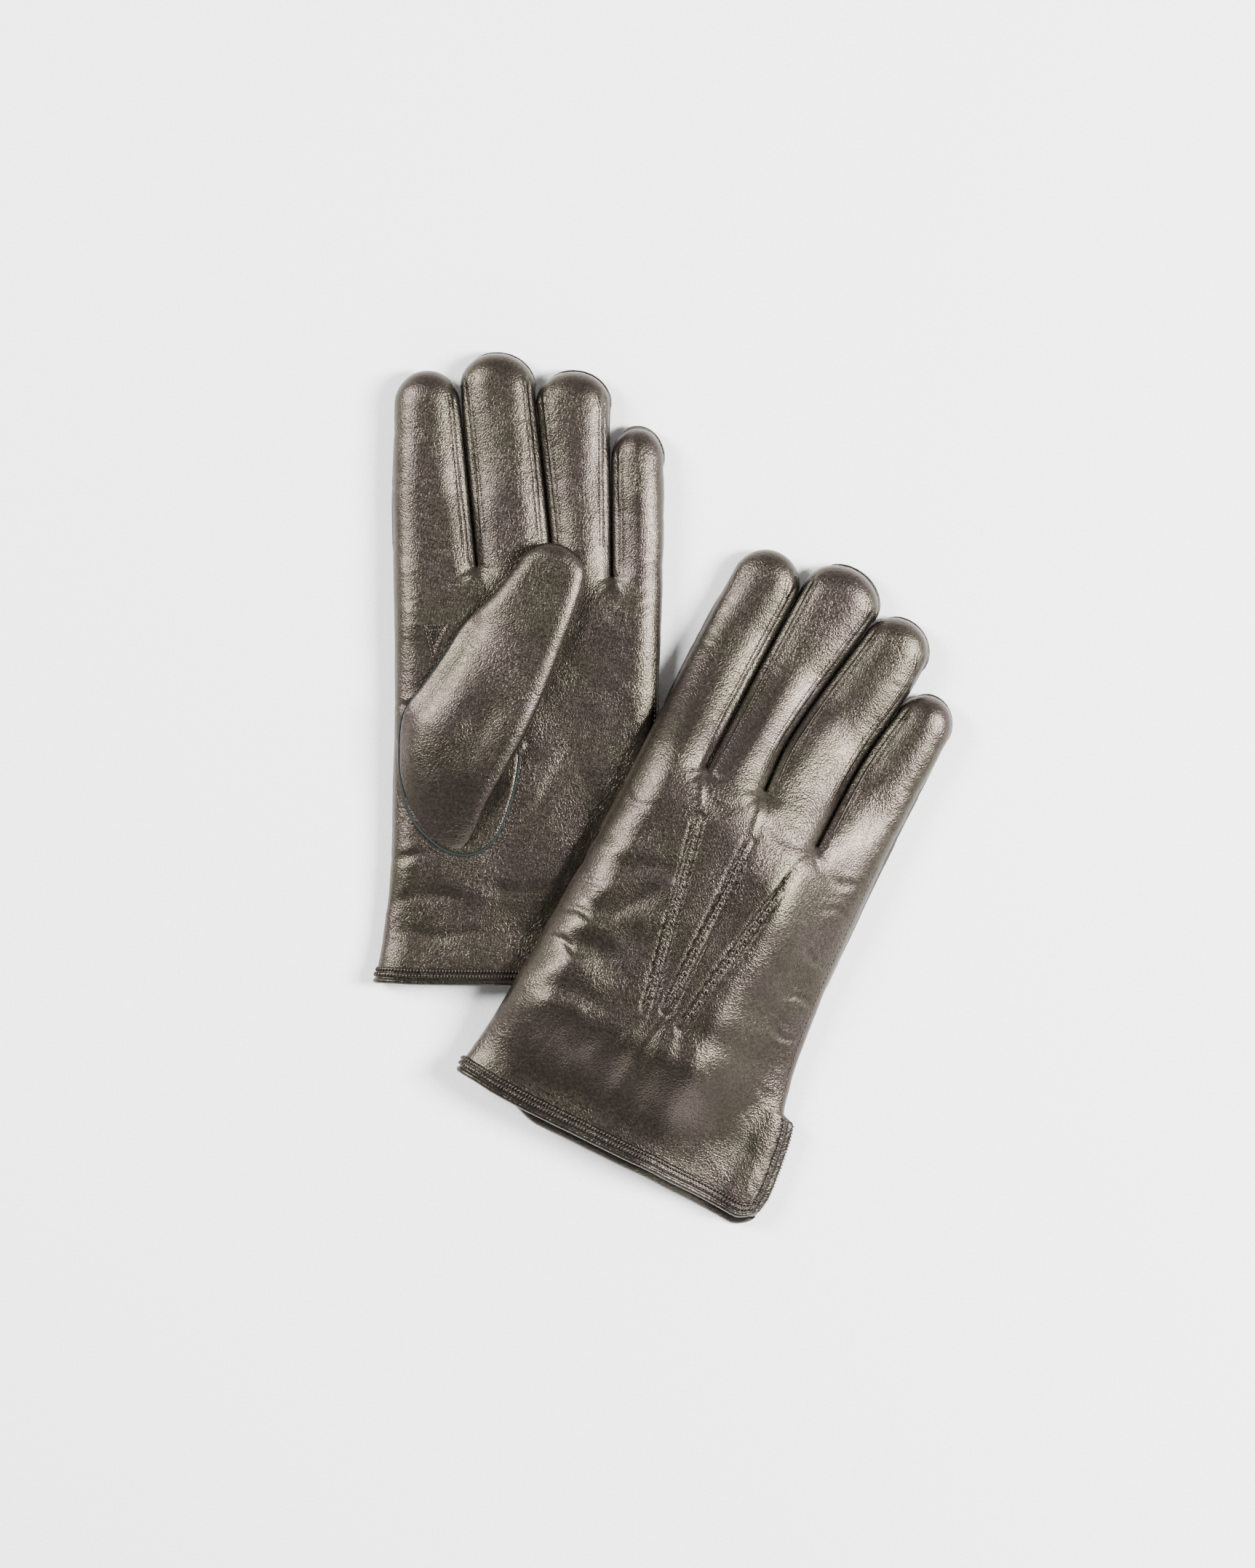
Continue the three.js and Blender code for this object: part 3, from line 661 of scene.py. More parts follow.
def maths(tree, operation, *values):
    """A sum; each value is a number or another node's output."""
    n = node(tree, "ShaderNodeMath", operation=operation)
    for i, value in enumerate(values):
        if isinstance(value, float):
            n.inputs[i].default_value = value
        else:
            tree.links.new(value, n.inputs[i])
    return n.outputs[0]


def two_tone(tree, share, first, second):
    n = node(tree, "ShaderNodeMix", data_type="RGBA")
    n.inputs[6].default_value = (*first, 1)
    n.inputs[7].default_value = (*second, 1)
    tree.links.new(share, n.inputs[0])
    return n.outputs[2]


def start_material(name):
    mat = bpy.data.materials.new(name)
    mat.use_nodes = True
    return mat, mat.node_tree, mat.node_tree.nodes["Principled BSDF"]


def colour_and_bump(tree, bsdf, colour, height, strength, distance):
    tree.links.new(colour, bsdf.inputs["Base Color"])
    bump = node(tree, "ShaderNodeBump", in_Strength=strength, in_Distance=distance)
    tree.links.new(height, bump.inputs["Height"])
    tree.links.new(bump.outputs["Normal"], bsdf.inputs["Normal"])


def leather(name, warm, cool, rough=0.33):
    """Metallic nappa: two tones in soft clouds, a pebbled grain, and a fine net of cracks in places."""
    mat, t, bsdf = start_material(name)
    link = t.links.new
    place = node(t, "ShaderNodeAttribute", attribute_name="flat")
    cloud = node(t, "ShaderNodeTexNoise", in_Scale=0.045, in_Detail=3.0, in_Roughness=0.55)
    fine = node(t, "ShaderNodeTexNoise", in_Scale=0.9, in_Detail=2.0, in_Roughness=0.55)
    bend = node(t, "ShaderNodeTexNoise", in_Scale=0.35, in_Detail=2.0)
    patches = node(t, "ShaderNodeTexNoise", in_Scale=0.06, in_Detail=2.0)
    for n in (cloud, fine, bend, patches):
        link(place.outputs["Vector"], n.inputs["Vector"])
    twist = node(t, "ShaderNodeVectorMath", operation="MULTIPLY_ADD")
    twist.inputs[1].default_value = (2.4, 2.4, 2.4)
    link(bend.outputs["Color"], twist.inputs[0])
    link(place.outputs["Vector"], twist.inputs[2])
    net = node(t, "ShaderNodeTexVoronoi", feature="DISTANCE_TO_EDGE", in_Scale=0.62)
    pebble = node(t, "ShaderNodeTexVoronoi", feature="DISTANCE_TO_EDGE", in_Scale=1.05)
    link(twist.outputs[0], net.inputs["Vector"])
    link(place.outputs["Vector"], pebble.inputs["Vector"])
    colour = node(t, "ShaderNodeMix", data_type="RGBA", blend_type="MULTIPLY")
    colour.inputs[0].default_value = 1.0
    link(two_tone(t, map_range(t, cloud.outputs["Fac"], 0.38, 0.62), warm, cool), colour.inputs[6])
    link(map_range(t, fine.outputs["Fac"], 0.3, 0.7, 0.86, 1.14), colour.inputs[7])
    link(map_range(t, fine.outputs["Fac"], 0.3, 0.7, rough - 0.04, rough + 0.05), bsdf.inputs["Roughness"])
    crack = map_range(t, net.outputs["Distance"], 0.0, 0.22, 0.0, 1.0)
    where = map_range(t, patches.outputs["Fac"], 0.42, 0.62, 0.25, 1.0)
    grains = map_range(t, pebble.outputs["Distance"], 0.0, 0.3, 0.0, 0.7)
    total = maths(t, "ADD", maths(t, "MULTIPLY", crack, where), grains)
    height = maths(t, "MULTIPLY_ADD", fine.outputs["Fac"], 0.3, total)
    colour_and_bump(t, bsdf, colour.outputs[2], height, 0.45, 0.00014)
    bsdf.inputs["Metallic"].default_value = 0.95
    bsdf.inputs["Specular IOR Level"].default_value = 0.5
    return mat


def plain(name, colour, rough, metal=0.0, bumpy=0.0):
    """An even material with a fine speckle, for thread, knit and raw edges."""
    mat, t, bsdf = start_material(name)
    place = node(t, "ShaderNodeTexCoord")
    fine = node(t, "ShaderNodeTexNoise", in_Scale=900.0, in_Detail=2.0)
    t.links.new(place.outputs["Object"], fine.inputs["Vector"])
    darker, paler = [c * 0.85 for c in colour], [c * 1.15 for c in colour]
    tone = two_tone(t, fine.outputs["Fac"], darker, paler)
    colour_and_bump(t, bsdf, tone, fine.outputs["Fac"], bumpy, 0.0002)
    bsdf.inputs["Roughness"].default_value = rough
    bsdf.inputs["Metallic"].default_value = metal
    bsdf.inputs["Specular IOR Level"].default_value = 0.2
    return mat


SKIN = leather("bronze_nappa", (0.063, 0.050, 0.043), (0.058, 0.051, 0.038))
# A slightly darker copy of the nappa for the fourchettes: painted shade in the gaps between the fingers.
FOURCHETTE_PAINTED_SHADE = leather("bronze_nappa_fourchette_painted_shade", (0.058, 0.047, 0.041), (0.054, 0.048, 0.036))
# A much darker copy of the nappa for the bindings, seam welts, fingertip welts and the quirk: painted shade
# along seams and edges.
TRIM_PAINTED_SHADE = leather("bronze_nappa_trim_painted_shade", (0.040, 0.033, 0.029), (0.038, 0.034, 0.026), rough=0.31)
THREAD = plain("dark_thread", (0.085, 0.070, 0.060), 0.36, 0.9)
RAW = plain("raw_cut_edge", (0.008, 0.013, 0.014), 0.7, 0.0, 0.3)
KNIT = plain("dark_knit", (0.030, 0.027, 0.025), 0.95, 0.0, 0.6)


# ---------------------------------------------------------------- details laid on the skin
class Surface:
    """Finds the skin's height over a flat place, on the palm or on the back."""

    def __init__(self, verts, faces):
        self.tree = BVHTree.FromPolygons(verts.tolist(), faces.tolist())

    def at(self, xy, side):
        """Points and outward normals over the given places; side is 1 for the palm, -1 for the back."""
        pts, normals = [], []
        for x, y in xy:
            hit, n, _, _ = self.tree.ray_cast(Vector((x, y, 30 * side)), Vector((0, 0, -side)))
            if hit is None:
                hit, n, _, _ = self.tree.find_nearest(Vector((x, y, 6 * side)))
            n = n if n.z * side > 0 else -n
            pts.append(hit)
            normals.append(n)
        return np.array(pts), np.array(normals)


def tube(points, normals, width, height, sink=0.3, ring=6, taper=0.0):
    """A flattened tube along points, standing on the surface; ring points round its section."""
    n = len(points)
    tangent = unit(np.gradient(points, axis=0))
    across = unit(np.cross(tangent, normals))
    up = np.cross(across, tangent)
    size = np.ones(n)
    if taper:
        k = np.minimum(np.arange(n), np.arange(n)[::-1]) / max(1, n - 1)
        size = np.clip(k / taper, 0.15, 1) ** 0.5
    verts = []
    for j in range(ring):
        a = 2 * math.pi * (j + 0.5) / ring
        verts.append(
            points
            + across * (width / 2 * math.cos(a) * size)[:, None]
            + up * (height * (0.5 * math.sin(a) + 0.5 - sink) * size)[:, None]
        )
    verts = np.stack(verts, 1).reshape(-1, 3)
    faces = []
    for i in range(n - 1):
        for j in range(ring):
            k = (j + 1) % ring
            faces.append((i * ring + j, i * ring + k, (i + 1) * ring + k, (i + 1) * ring + j))
    faces.append(tuple(range(ring))[::-1])
    faces.append(tuple((n - 1) * ring + j for j in range(ring)))
    return verts, faces


class Bundle:
    """Many small meshes gathered into one."""

    def __init__(self):
        self.verts, self.faces, self.count = [], [], 0

    def add(self, verts, faces):
        self.verts.append(verts)
        self.faces += [tuple(i + self.count for i in f) for f in faces]
        self.count += len(verts)

    def object(self, name, g, material):
        pts = np.concatenate(self.verts)
        return make(name, lay(g, pts), self.faces, material, pts)


def spaced(line, pitch):
    """Places every pitch along a dense line, with the line's direction at each."""
    line = np.asarray(line, float)
    s = run_along(line)
    at = np.arange(pitch / 2, s[-1], pitch)
    return resample(line, s, at), unit(resample(line, s, at + 0.2) - resample(line, s, at - 0.2))


def stitches(bundle, surface, line, side, pitch, long, wide, lift=0.0):
    """A row of small stitches along a flat line."""
    xy, d = spaced(line, pitch)
    shares = np.array([-0.5, -0.3, 0.0, 0.3, 0.5])
    every = (xy[:, None, :] + d[:, None, :] * (shares * long)[None, :, None]).reshape(-1, 2)
    pts, normals = surface.at(every, side)
    pts = pts.reshape(len(xy), len(shares), 3)
    normals = normals.reshape(len(xy), len(shares), 3)
    rise = np.array([-0.16, 0.05, 0.13, 0.05, -0.16]) + lift
    for p, n in zip(pts, normals):
        verts, faces = tube(p + n * rise[:, None], n, wide, wide, sink=0.3, ring=5)
        bundle.add(verts, faces)


def seam(bundle, surface, line, side, width, height, sink, taper):
    """A raised welt along a flat line."""
    pts, normals = surface.at(line, side)
    for _ in range(2):
        pts[1:-1] = (pts[:-2] + 2 * pts[1:-1] + pts[2:]) / 4
    bundle.add(*tube(pts, normals, width, height, sink=sink, ring=8, taper=taper))


# ---------------------------------------------------------------- the cuff
def lay(g, flat):
    """Lays flat-space points on the table, with the right cuff's slit flared and its palm side shown."""
    out = np.array(flat, float)
    if g["palm"] < 0:
        x, y, e = np.array(flat, float).T
        out[:, 1] -= 3.6 * fade(-40, -24, x) * fade(-2.0, 3.0, e) * fade(24, 2, y)
        out[:, 1] += 0.8 * np.sin(x / 21.0) * fade(16, 0, y)
        out[:, 1] += 5.0 * fade(56, 68, x) ** 2 * fade(14, 2, y)
        flare = 1.6 * fade(VENT_LONG + 2.4, VENT_LONG + 1.0, y)
        tuck = 1.5 * fade(VENT_LONG + 1.0, VENT_LONG + 2.4, y) * fade(VENT_LONG + 14, VENT_LONG + 3, y)
        out[:, 0] += fade(38, 56, x) * (flare - tuck)
    return put(g, out)


def hem_loop(g):
    """Points round the cuff's section, from one edge of the slit round to the other."""
    low, high = through(g["outer"], 2.0), through(g["inner"], 2.0)
    over = (high - low) / 2 - EDGE_ROUND
    t = np.linspace(0, 2 * math.pi, 1200, endpoint=False)
    cos, sin = np.cos(t), np.sin(t)
    x = (low + high) / 2 + np.sign(cos) * (over + EDGE_ROUND * np.abs(cos) ** (2 / BULGE))
    e = np.sign(sin) * np.abs(sin) ** (2 / BULGE) * float(thick(g, 0.0, 2.0)) / 2
    loop = np.stack([x, e], 1)
    loop = np.concatenate([loop, loop[:1]])
    s = run_along(loop)
    return resample(loop, s, np.arange(0.5, s[-1] - 0.2, 0.7))


def hem_grid(g, profile):
    """The cuff's strip as a grid of points: round the loop, and along the profile of (y, out) pairs."""
    loop = hem_loop(g)
    tangent = unit(np.gradient(loop, axis=0))
    outward = np.stack([tangent[:, 1], -tangent[:, 0]], 1)
    rows = []
    for y, out in profile:
        p = loop + outward * out
        wide = float(through(g["inner"], y) - through(g["inner"], 2.0))
        x = p[:, 0] + wide * np.sign(p[:, 0]) * fade(20, 50, np.abs(p[:, 0]))
        rows.append(np.stack([x, np.full(len(p), y) + 0.25 * noise(x / 11, 3.3, 2.0), p[:, 1]], 1))
    return np.stack(rows, 1), outward


HEM = [  # up the glove, and out of the leather
    (5.6, -2.4), (1.5, -2.2), (-0.4, -1.7), (-1.1, -0.9), (-1.35, 0.0), (-1.0, 0.8), (-0.3, 1.15),
    (0.4, 0.95), (0.8, 0.4), (1.2, 0.35), (1.7, 0.7), (2.3, 0.95), (2.9, 0.75), (3.3, 0.4), (3.7, 0.45),
    (4.3, 0.75), (4.9, 0.6), (5.3, 0.1), (5.6, -0.5),
]


VENT_BIND = [  # in from the slit, and out of the leather
    (-0.5, -1.6), (-0.9, -0.4), (-0.5, 0.7), (0.3, 1.2), (1.1, 0.9), (1.6, 0.2), (2.1, 0.8), (2.9, 1.2),
    (3.7, 0.9), (4.3, 0.3), (4.8, -0.4),
]


def grid_strip(g, name, flat):
    """A strip of trim leather from a grid of flat-space points, in the darker copy of the nappa that paints
    shade along the bound edges.
    """
    n, m = flat.shape[:2]
    cells = [(i * m + j, (i + 1) * m + j) for i in range(n - 1) for j in range(m - 1)]
    faces = [(a, a + 1, b + 1, b) for a, b in cells]
    points = flat.reshape(-1, 3)
    return make(name, lay(g, points), faces, TRIM_PAINTED_SHADE, points)


def roll_stitch(bundle, place, across, up, reach, rise, drop):
    """One small stitch that arches over a roll."""
    k = np.array([-1, -0.5, 0, 0.5, 1])[:, None]
    arc = place + across * k * reach + up * (rise - drop * k**2)
    bundle.add(*tube(arc, np.repeat(up[None], 5, 0), 0.4, 0.36, ring=5))


def cuff(g):
    """The strip bound over the cuff's edge, with its two rolls, and the stitches across each."""
    flat, outward = hem_grid(g, HEM)
    strip = grid_strip(g, f"{g['name']}_cuff_strip", flat)
    thread = Bundle()
    for row in (11, 15):
        line = flat[:, row]
        s = run_along(line)
        for at in np.arange(0.8, s[-1], 1.25):
            i = min(int(np.searchsorted(s, at)), len(line) - 1)
            out = np.array([outward[i, 0], 0, outward[i, 1]])
            p = np.array([np.interp(at, s, line[:, k]) for k in range(3)])
            roll_stitch(thread, p, np.array([0.25, 1, 0]), out, 0.75, 0.16, 0.42)
    return strip, thread.object(f"{g['name']}_cuff_stitches", g, THREAD)


def vent_edge(g, surface, side, name):
    """The strip that binds one edge of the slit: two rolls that run up from the cuff's corner."""
    ys = np.arange(3.4, VENT_LONG + 1.2, 0.7)
    rows = []
    for inward, out in VENT_BIND:
        line = np.stack([through(g["inner"], ys) - np.maximum(inward, 0.6), ys], 1)
        pts, normals = surface.at(line, side)
        pts = pts + normals * out * fade(VENT_LONG + 1.6, VENT_LONG - 0.5, ys)[:, None]
        pts[:, 0] += max(0.6 - inward, 0)
        pts[:, 2] = side * np.maximum(pts[:, 2] * side, 0.35)
        rows.append(pts)
    flat = np.stack(rows, 1)
    strip = grid_strip(g, name, flat)
    thread = Bundle()
    for row in (3, 7):
        for at in np.arange(0.5, len(flat) - 1.5, 1.8):
            i = int(at)
            p = flat[i, row] + (flat[i + 1, row] - flat[i, row]) * (at - i)
            roll_stitch(thread, p, np.array([1, 0.25, 0]), np.array([0, 0, side]), 0.7, 0.14, 0.4)
    return strip, thread


# ---------------------------------------------------------------- one glove
def names(g):
    return g["name"], f"{g['name']}_hand"


def hand_outline_true(g):
    """The flat outline with the fingers at their real widths."""
    line = hand_outline(g)
    three = np.concatenate([line, np.zeros((len(line), 1))], 1)
    return close_fingers(g, three)[:, :2]


def bend_line(g, i):
    """Where finger i starts and ends its bend, level, in metres."""
    y0, y1 = g["bends"][i]
    low, high = sides(g, i, np.array([(y0 + y1) / 2]))
    x = float((low + high)[0] / 2)
    ends = put(g, [[x, y0, 0], [x, y1, 0]])
    ends[1, 2] = ends[0, 2]
    return ends[0], ends[1]


def fingers(g, surface, faces, flat0, placed, inner, finger, is_finger, cx, cy):
    """Each finger's skin, fourchettes, lining, seams and stitches."""
    name, hand = names(g)
    starts = [b[0] for b in g["bends"]]
    for i, digit in enumerate(FINGERS):
        mine = is_finger & (finger == i)
        low, high = sides(g, i, cy)
        from_low = cx - low if i > 0 else np.full(len(cx), 99.0)
        from_high = high - cx if i < 3 else np.full(len(cx), 99.0)
        within = np.minimum(from_low, from_high) < SEAM_IN
        fork = mine & within & (cy < g["tips"][i] - 9) & (cy > g["creases"][i] + 2)
        forks = [("fourchette_skin", fork, "fourchette")]
        if 0 < i < 3:
            lower = fork & (from_low < from_high)
            forks = [
                ("fourchette_skin_a", lower, "fourchette_index_side"),
                ("fourchette_skin_b", fork & ~lower, "fourchette_little_side"),
            ]
        pieces = [("skin", mine & ~fork, SKIN, "sleeve", "glove_leather")]
        # The fourchettes take the slightly darker copy of the nappa, which paints shade between the fingers.
        pieces += [(word, keep, FOURCHETTE_PAINTED_SHADE, part, "fourchette_leather") for word, keep, part in forks]
        pieces.append(("knit_lining", mine, KNIT, "lining", "lining"))
        start, end = bend_line(g, i)
        for word, keep, material, part, slot in pieces:
            pv, pf, used = cut_out(inner if slot == "lining" else placed, faces, keep)
            obj = make(f"{name}_{digit}_{word}", pv, pf, material, flat0[used])
            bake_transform(obj)
            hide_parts(f"{name}_{digit}_{part}")
        welt, thread = Bundle(), Bundle()
        for k in (0, 1):
            if (i == 0 and k == 0) or (i == 3 and k == 1):
                continue
            ys = np.arange(starts[i] + 0.5, g["tips"][i] - 8.5, 0.8)
            lo, hi = sides(g, i, np.minimum(ys, g["tips"][i] - TIP_ROUND))
            line_x = lo + SEAM_IN if k == 0 else hi - SEAM_IN
            line_x = line_x + (1 if k == 0 else -1) * 2.2 * fade(g["tips"][i] - 16, g["tips"][i] - 8, ys)
            line = np.stack([line_x, ys], 1)
            for side in (1, -1):
                seam(welt, surface, line, side, 0.95, 0.55, sink=0.45, taper=0.04)
                beside = line + np.array([1.25 if k == 0 else -1.25, 0])
                stitches(thread, surface, beside, side, pitch=1.8, long=1.15, wide=0.4)
        if i > 0:
            bend = g["tips"][i] - TIP_ROUND
            lo, hi = (float(v) for v in sides(g, i, bend))
            t = np.radians(np.linspace(128, -8, 60))
            under = -g["palm"] * np.array([0, 0, 1.0])
            rim_x = (lo + hi) / 2 + ((hi - lo) / 2 + 0.1) * np.cos(t)
            rim = np.stack([rim_x, bend + (TIP_ROUND + 0.1) * np.sin(t), 0 * t], 1)
            unders = np.repeat(under[None], len(rim), 0)
            welt.add(*tube(rim + under * 2.0, unders, 1.5, 2.6, sink=0.5, ring=8, taper=0.15))
        # The welts take the darker copy of the nappa, which paints shade along the seams.
        obj = welt.object(f"{name}_{digit}_seams", g, TRIM_PAINTED_SHADE)
        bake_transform(obj)
        obj = thread.object(f"{name}_{digit}_stitches", g, THREAD)
        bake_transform(obj)


def thumb(g, faces, flat0, placed, patch):
    """The thumb's base, which stays on the palm, and its sleeve, split at the crease between them."""
    name, hand = names(g)
    tv, tf = thumb_skin(g)
    tflat = tv.copy()
    along, _ = thumb_frame(g)
    s, u = thumb_place(g, tv[:, 0], tv[:, 1])
    tn = mesh_normals(tv, tf)
    lump = 0.35 * noise(u / 16 + 4, s / 20, 1.5) + 0.12 * noise(u / 6, s / 7, 5.5)
    rim = fade(0.35, 0.95, np.abs(u) / 20)
    ridge = 1 - np.abs(noise(u / 14 + 2, (s + 3 * noise(u / 9, s / 12, 2)) / 4.2, 3))
    lump += 0.08 * rim * (ridge**4 - 0.3)
    lump -= 1.1 * np.exp(-((np.hypot((u - 5) / 7, (s - 8) / 13)) ** 2))
    lump -= 0.3 * np.exp(-((np.hypot((u + 1) / 8, (s - 71) / 7)) ** 2))
    tv = tv + tn * (lump * fade(-30, -10, s))[:, None]
    tc = tv[tf].mean(1)
    sc, _ = thumb_place(g, tc[:, 0], tc[:, 1])
    low_part = tc[:, 2] < thick(g, tc[:, 0], tc[:, 1]) / 2 - 1.6
    s0, s1 = g["thumb"]["bend"]
    tplaced, tinner = put(g, tv), put(g, tv - mesh_normals(tv, tf) * 1.3)
    for word, keep, node_name, slot in (
        ("thumb_base_skin", (sc < s0) & ~low_part, "thumb_base", "glove_leather"),
        ("thumb_skin", sc >= s0, "thumb_sleeve", "glove_leather"),
        ("thumb_base_knit", (sc < s0) & ~low_part, "thumb_base_lining", "lining"),
        ("thumb_knit", sc >= s0, "thumb_lining", "lining"),
    ):
        pv, pf, used = cut_out(tinner if slot == "lining" else tplaced, tf, keep)
        where = tflat[used] + np.array([31.0, 17.0, 5.0])
        if word == "thumb_base_skin":
            qv, qf, more = cut_out(placed, faces, patch)
            pf = np.concatenate([pf, qf + len(pv)])
            pv, where = np.concatenate([pv, qv]), np.concatenate([where, flat0[more]])
        obj = make(f"{name}_{word}", pv, pf, KNIT if slot == "lining" else SKIN, where)
        if word in ("thumb_skin", "thumb_knit"):
            a, b = (np.array(THUMB_ROOT) + along * v for v in (s0, s1))
            e = thick(g, a[:1], a[1:])[0] / 2 + THUMB_CLEAR + g["thumb"]["thick"]
            ends = put(g, [[*a, e], [*b, e]])
            ends[1, 2] = ends[0, 2]
            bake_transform(obj)
        else:
            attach(obj, hand)
        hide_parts(f"{name}_{node_name}")


def oval_seam(g, surface, thread):
    """The thumb's oval seam, with its raw edge and two rows of stitches on the palm."""
    name, hand = names(g)
    raw = Bundle()
    edge_line = np.concatenate([thumb_point(g, THUMB_EDGE[8:0:-1]), OVAL[5:]])
    seam(raw, surface, smooth_line(edge_line, 0.8), 1, 0.9, 0.8, sink=0.3, taper=0.03)
    oval = smooth_line(OVAL, 0.8)
    out = np.gradient(oval, axis=0)
    out = unit(np.stack([out[:, 1], -out[:, 0]], 1))
    if inside(oval, *(oval + out * 1.0)[len(oval) // 2 : len(oval) // 2 + 1].T)[0]:
        out = -out
    for off in (1.5, 3.0):
        line = oval + out * off
        ok = line[:, 0] > through(g["outer"], line[:, 1]) + 1.4
        stitches(thread, surface, line[ok], 1, pitch=1.7, long=1.15, wide=0.42)
    edge_piece = raw.object(f"{name}_thumb_seam_edge", g, RAW)
    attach(edge_piece, hand)


def quirk(g, surface, thread):
    """The small triangle beside the thumb, with two rings of stitches."""
    name, hand = names(g)
    tri = np.array(QUIRK, float)
    edges = [np.linspace(tri[k], tri[(k + 1) % 3], 16, endpoint=False) for k in range(3)]
    ring = np.concatenate([*edges, tri[:1]])
    pts, normals_ = surface.at(ring[:-1], 1)
    mid, midn = surface.at([tri.mean(0)], 1)
    raised = pts + (mid - pts) * 0.1 + normals_ * 0.35
    patch = np.concatenate([pts + normals_ * 0.05, raised, mid + midn * 0.35])
    n = len(pts)
    pf = [(j, (j + 1) % n, n + (j + 1) % n, n + j) for j in range(n)]
    pf += [(n + j, n + (j + 1) % n, 2 * n) for j in range(n)]
    # The patch takes the darker copy of the nappa, which paints shade on the quirk.
    obj = make(f"{name}_quirk_patch", put(g, patch), pf, TRIM_PAINTED_SHADE, patch)
    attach(obj, hand)
    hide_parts(f"{name}_quirk")
    for size in (0.55, 0.98):
        row = tri.mean(0) + (ring - tri.mean(0)) * size
        stitches(thread, surface, row, 1, pitch=1.6, long=1.05, wide=0.5, lift=0.45 if size < 0.9 else 0.2)


def outseam(g, surface, thread):
    """The stitches just inside the little finger's edge of the hand, on both faces."""
    ys = np.arange(VENT_LONG + 1, g["bends"][3][0] - 1, 0.9)
    line = np.stack([through(g["inner"], ys) - 1.9, ys], 1)
    for side in (1, -1):
        stitches(thread, surface, line, side, pitch=1.9, long=1.1, wide=0.28)


def points(g, surface):
    """The three stitched tucks on the back: a rib, and the thread roped over it."""
    name, hand = names(g)
    for (top, low), word in zip(POINTS, ("by_index", "middle", "by_little")):
        top, low = np.array(top, float), np.array(low, float)
        line = np.linspace(top, low, 110)
        line[:, 0] += 0.5 * np.sin(np.linspace(0, 7, 110))
        rib, sew = Bundle(), Bundle()
        seam(rib, surface, line, -1, 1.4, 1.5, sink=0.35, taper=0.06)
        obj = rib.object(f"{name}_point_rib_{word}", g, SKIN)
        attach(obj, hand)
        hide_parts(f"{name}_point_{word}")
        xy, d = spaced(line[3:-3], 2.5)
        pts, normals_ = surface.at(xy, -1)
        for j, (p, nn, dd) in enumerate(zip(pts, normals_, d)):
            cross = np.array([-dd[1], dd[0], 0])
            ahead = np.array([dd[0], dd[1], 0])
            k = np.linspace(-1, 1, 7)[:, None]
            off = cross * (0.4 if j % 2 else -0.4)
            arc = p + off + k * (cross * 0.9 + ahead * 1.1) + nn * (1.45 * (1 - 0.8 * np.abs(k) ** 2.4))
            sew.add(*tube(arc, nn, 1.25, 0.9, ring=6, taper=0.6))
        obj = sew.object(f"{name}_point_thread_{word}", g, THREAD)
        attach(obj, hand)


def cuff_edges(g, surface):
    """The cuff's binding and the slit's bound edges."""
    name, hand = names(g)
    strip, rows = cuff(g)
    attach(strip, hand)
    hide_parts(f"{name}_cuff_binding")
    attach(rows, hand)
    for side, word in ((1, "palm"), (-1, "back")):
        obj, sewn = vent_edge(g, surface, side, f"{name}_vent_edge_{word}")
        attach(obj, hand)
        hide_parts(f"{name}_vent_bead_{word}")
        obj = sewn.object(f"{name}_vent_stitches_{word}", g, THREAD)
        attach(obj, hand)


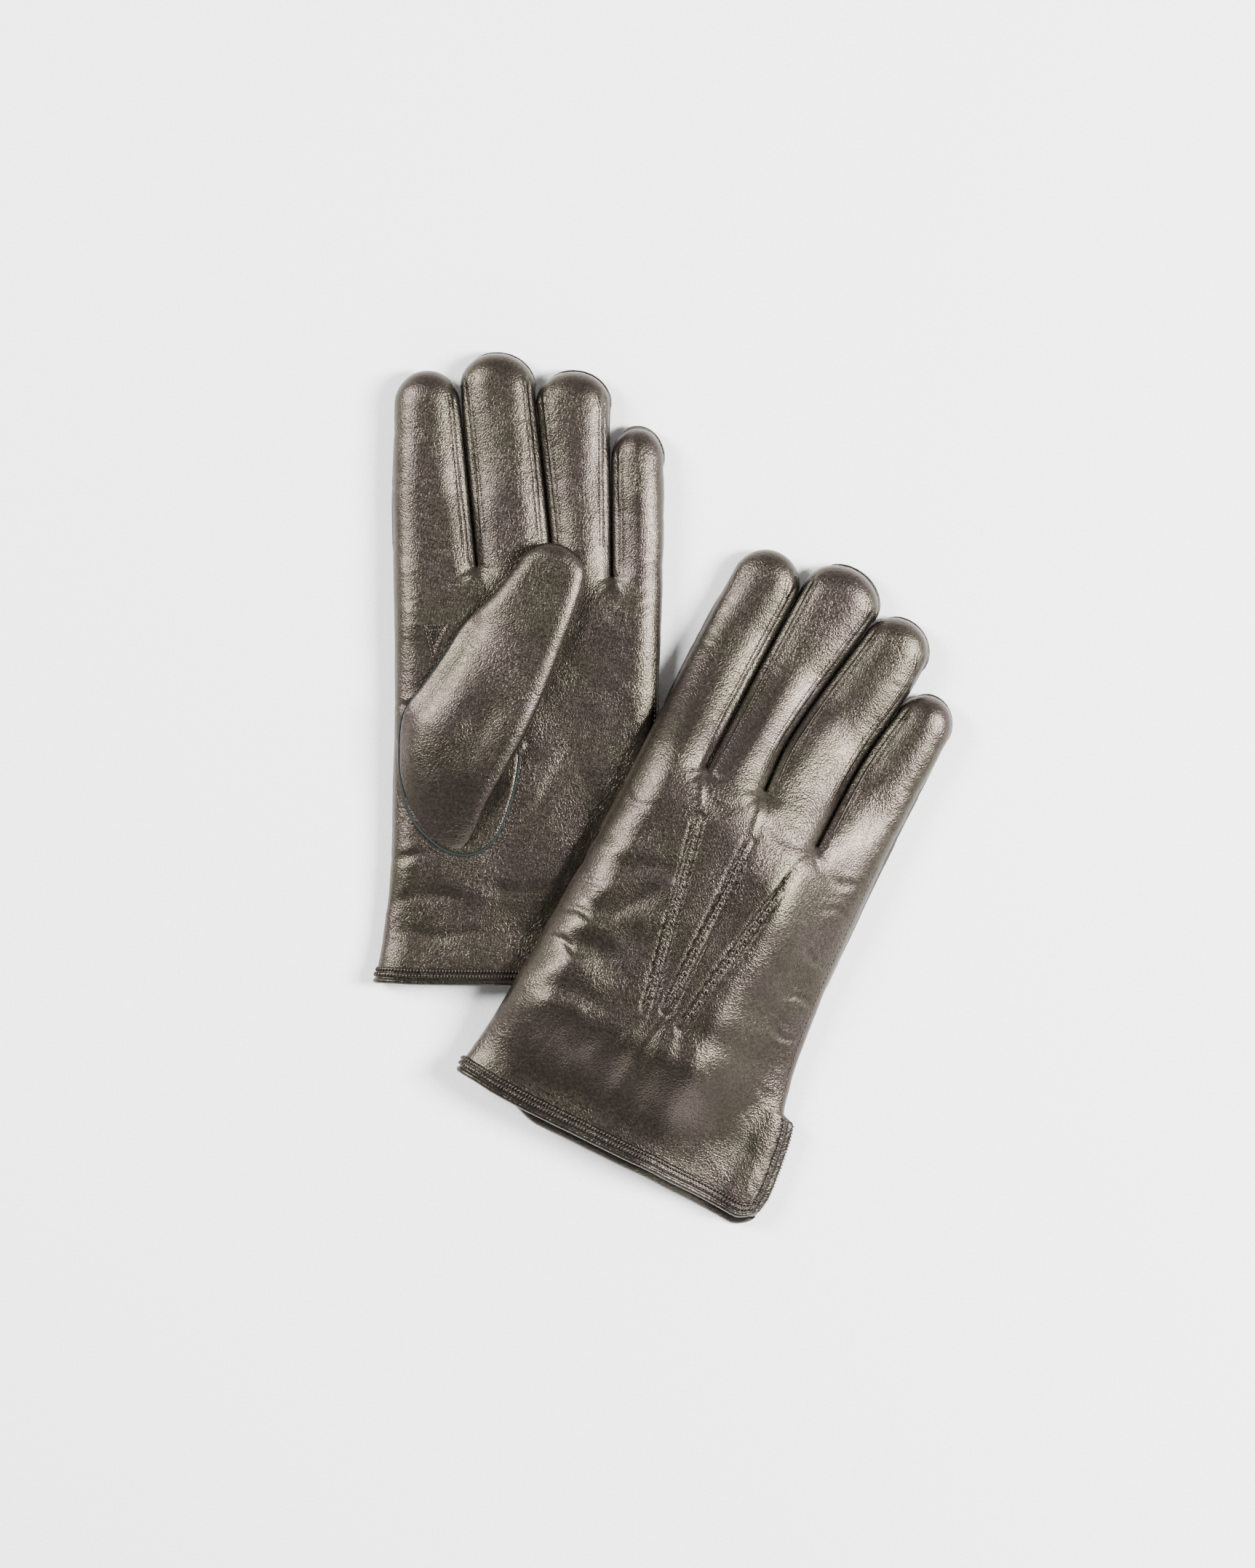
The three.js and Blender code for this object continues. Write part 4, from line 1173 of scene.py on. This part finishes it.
def build(g):
    name, hand = names(g)
    verts, faces = hand_skin(g)
    flat0 = verts.copy()
    edge = near_line(hand_outline_true(g), verts[:, 0], verts[:, 1], closed=True)[0]
    normals = mesh_normals(verts, faces)
    still = 1 - 0.95 * fade(3.2, 1.2, edge) * by_slit(g, verts[:, 0], verts[:, 1])
    verts = verts + normals * (wrinkle(g, verts, edge) * still * fade(0, 6, verts[:, 1]))[:, None]
    oval = smooth_line(OVAL, 0.7, closed=True)
    d, _ = near_line(oval, verts[:, 0], verts[:, 1], closed=True)
    in_oval = inside(oval, verts[:, 0], verts[:, 1]) & (flat0[:, 2] > 1)
    verts[:, 2] += np.where(in_oval, 0.5 * fade(0, 1.0, d), 0)
    surface = Surface(verts, faces)

    # which faces go where
    centre = verts[faces].mean(1)
    cx, cy, ce = centre.T
    vent = (cy < VENT_LONG) & (cx > through(g["inner"], cy) - 2.2) & (np.abs(ce) < 1.5)
    body = (cy > 0.6) & ~vent
    finger = finger_of(g, cx, cy)
    starts = np.array([b[0] for b in g["bends"]])
    is_finger = cy > starts[finger]
    placed = lay(g, verts)
    inner = lay(g, verts - mesh_normals(verts, faces) * 1.5)
    patch = in_oval[faces].all(1)

    pv, pf, used = cut_out(placed, faces, body & ~is_finger & ~patch)
    trank = make(f"{name}_hand_skin", pv, pf, SKIN, flat0[used])
    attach(trank, hand)
    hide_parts(f"{name}_trank")
    fingers(g, surface, faces, flat0, placed, inner, finger, is_finger, cx, cy)
    thumb(g, faces, flat0, placed, patch)
    thread = Bundle()
    oval_seam(g, surface, thread)
    quirk(g, surface, thread)
    outseam(g, surface, thread)
    points(g, surface)
    obj = thread.object(f"{name}_hand_stitches", g, THREAD)
    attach(obj, hand)
    cuff_edges(g, surface)

    liner = (cy > 0.6) & (cy < 150) & ~vent
    pv, pf, used = cut_out(inner, faces[:, ::-1], liner & ~is_finger)
    obj = make(f"{name}_knit_lining", pv, pf, KNIT, flat0[used])
    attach(obj, hand)
    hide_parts(f"{name}_hand_lining")


for glove in (LEFT, RIGHT):
    build(glove)
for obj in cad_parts.values():
    if not obj.hide_render:
        obj.data.materials.clear()
        obj.data.materials.append(KNIT)

# ---------------------------------------------------------------- floor, light and camera
bpy.ops.mesh.primitive_plane_add(size=8, location=(0, 0, -0.0004))
floor = bpy.context.object
floor.name = "floor"
floor.data.materials.append(plain("pale_floor", (0.97, 0.97, 0.97), 0.9))


def area(name, place, size, power):
    data = bpy.data.lights.new(name, "AREA")
    data.shape = "RECTANGLE"
    data.size, data.size_y = size
    data.energy = power
    lamp = bpy.data.objects.new(name, data)
    bpy.context.collection.objects.link(lamp)
    lamp.location = place
    lamp.rotation_euler = (-Vector(place)).to_track_quat("-Z", "Y").to_euler()


area("key", (-1.2, 0.6, 1.3), (0.5, 0.8), 70)
area("side", (1.2, 0.05, 1.3), (0.4, 0.8), 120)
area("front", (0.1, -1.9, 0.8), (1.6, 0.4), 16)

# The room is dark overhead and paler towards the horizon.
world = bpy.data.worlds.new("studio")
world.use_nodes = True
sky = world.node_tree
way = node(sky, "ShaderNodeTexCoord")
split_way = node(sky, "ShaderNodeSeparateXYZ")
glow = node(sky, "ShaderNodeMapRange", in_1=0.25, in_2=0.92, in_3=1.2, in_4=0.06)
glow.interpolation_type = "SMOOTHSTEP"
sky.links.new(way.outputs["Generated"], split_way.inputs[0])
sky.links.new(split_way.outputs["Z"], glow.inputs[0])
sky.links.new(glow.outputs[0], sky.nodes["Background"].inputs[1])
sky.nodes["Background"].inputs[0].default_value = (1, 1, 1, 1)
bpy.context.scene.world = world

camera = bpy.data.cameras.new("camera")
camera.sensor_fit = "VERTICAL"
camera.sensor_height = 24
camera.lens = 77.6
view = bpy.data.objects.new("camera", camera)
bpy.context.collection.objects.link(view)
view.location = (-0.0137, 0.0014, 2.0)
view.rotation_euler = (0, 0, 0)
bpy.context.scene.camera = view
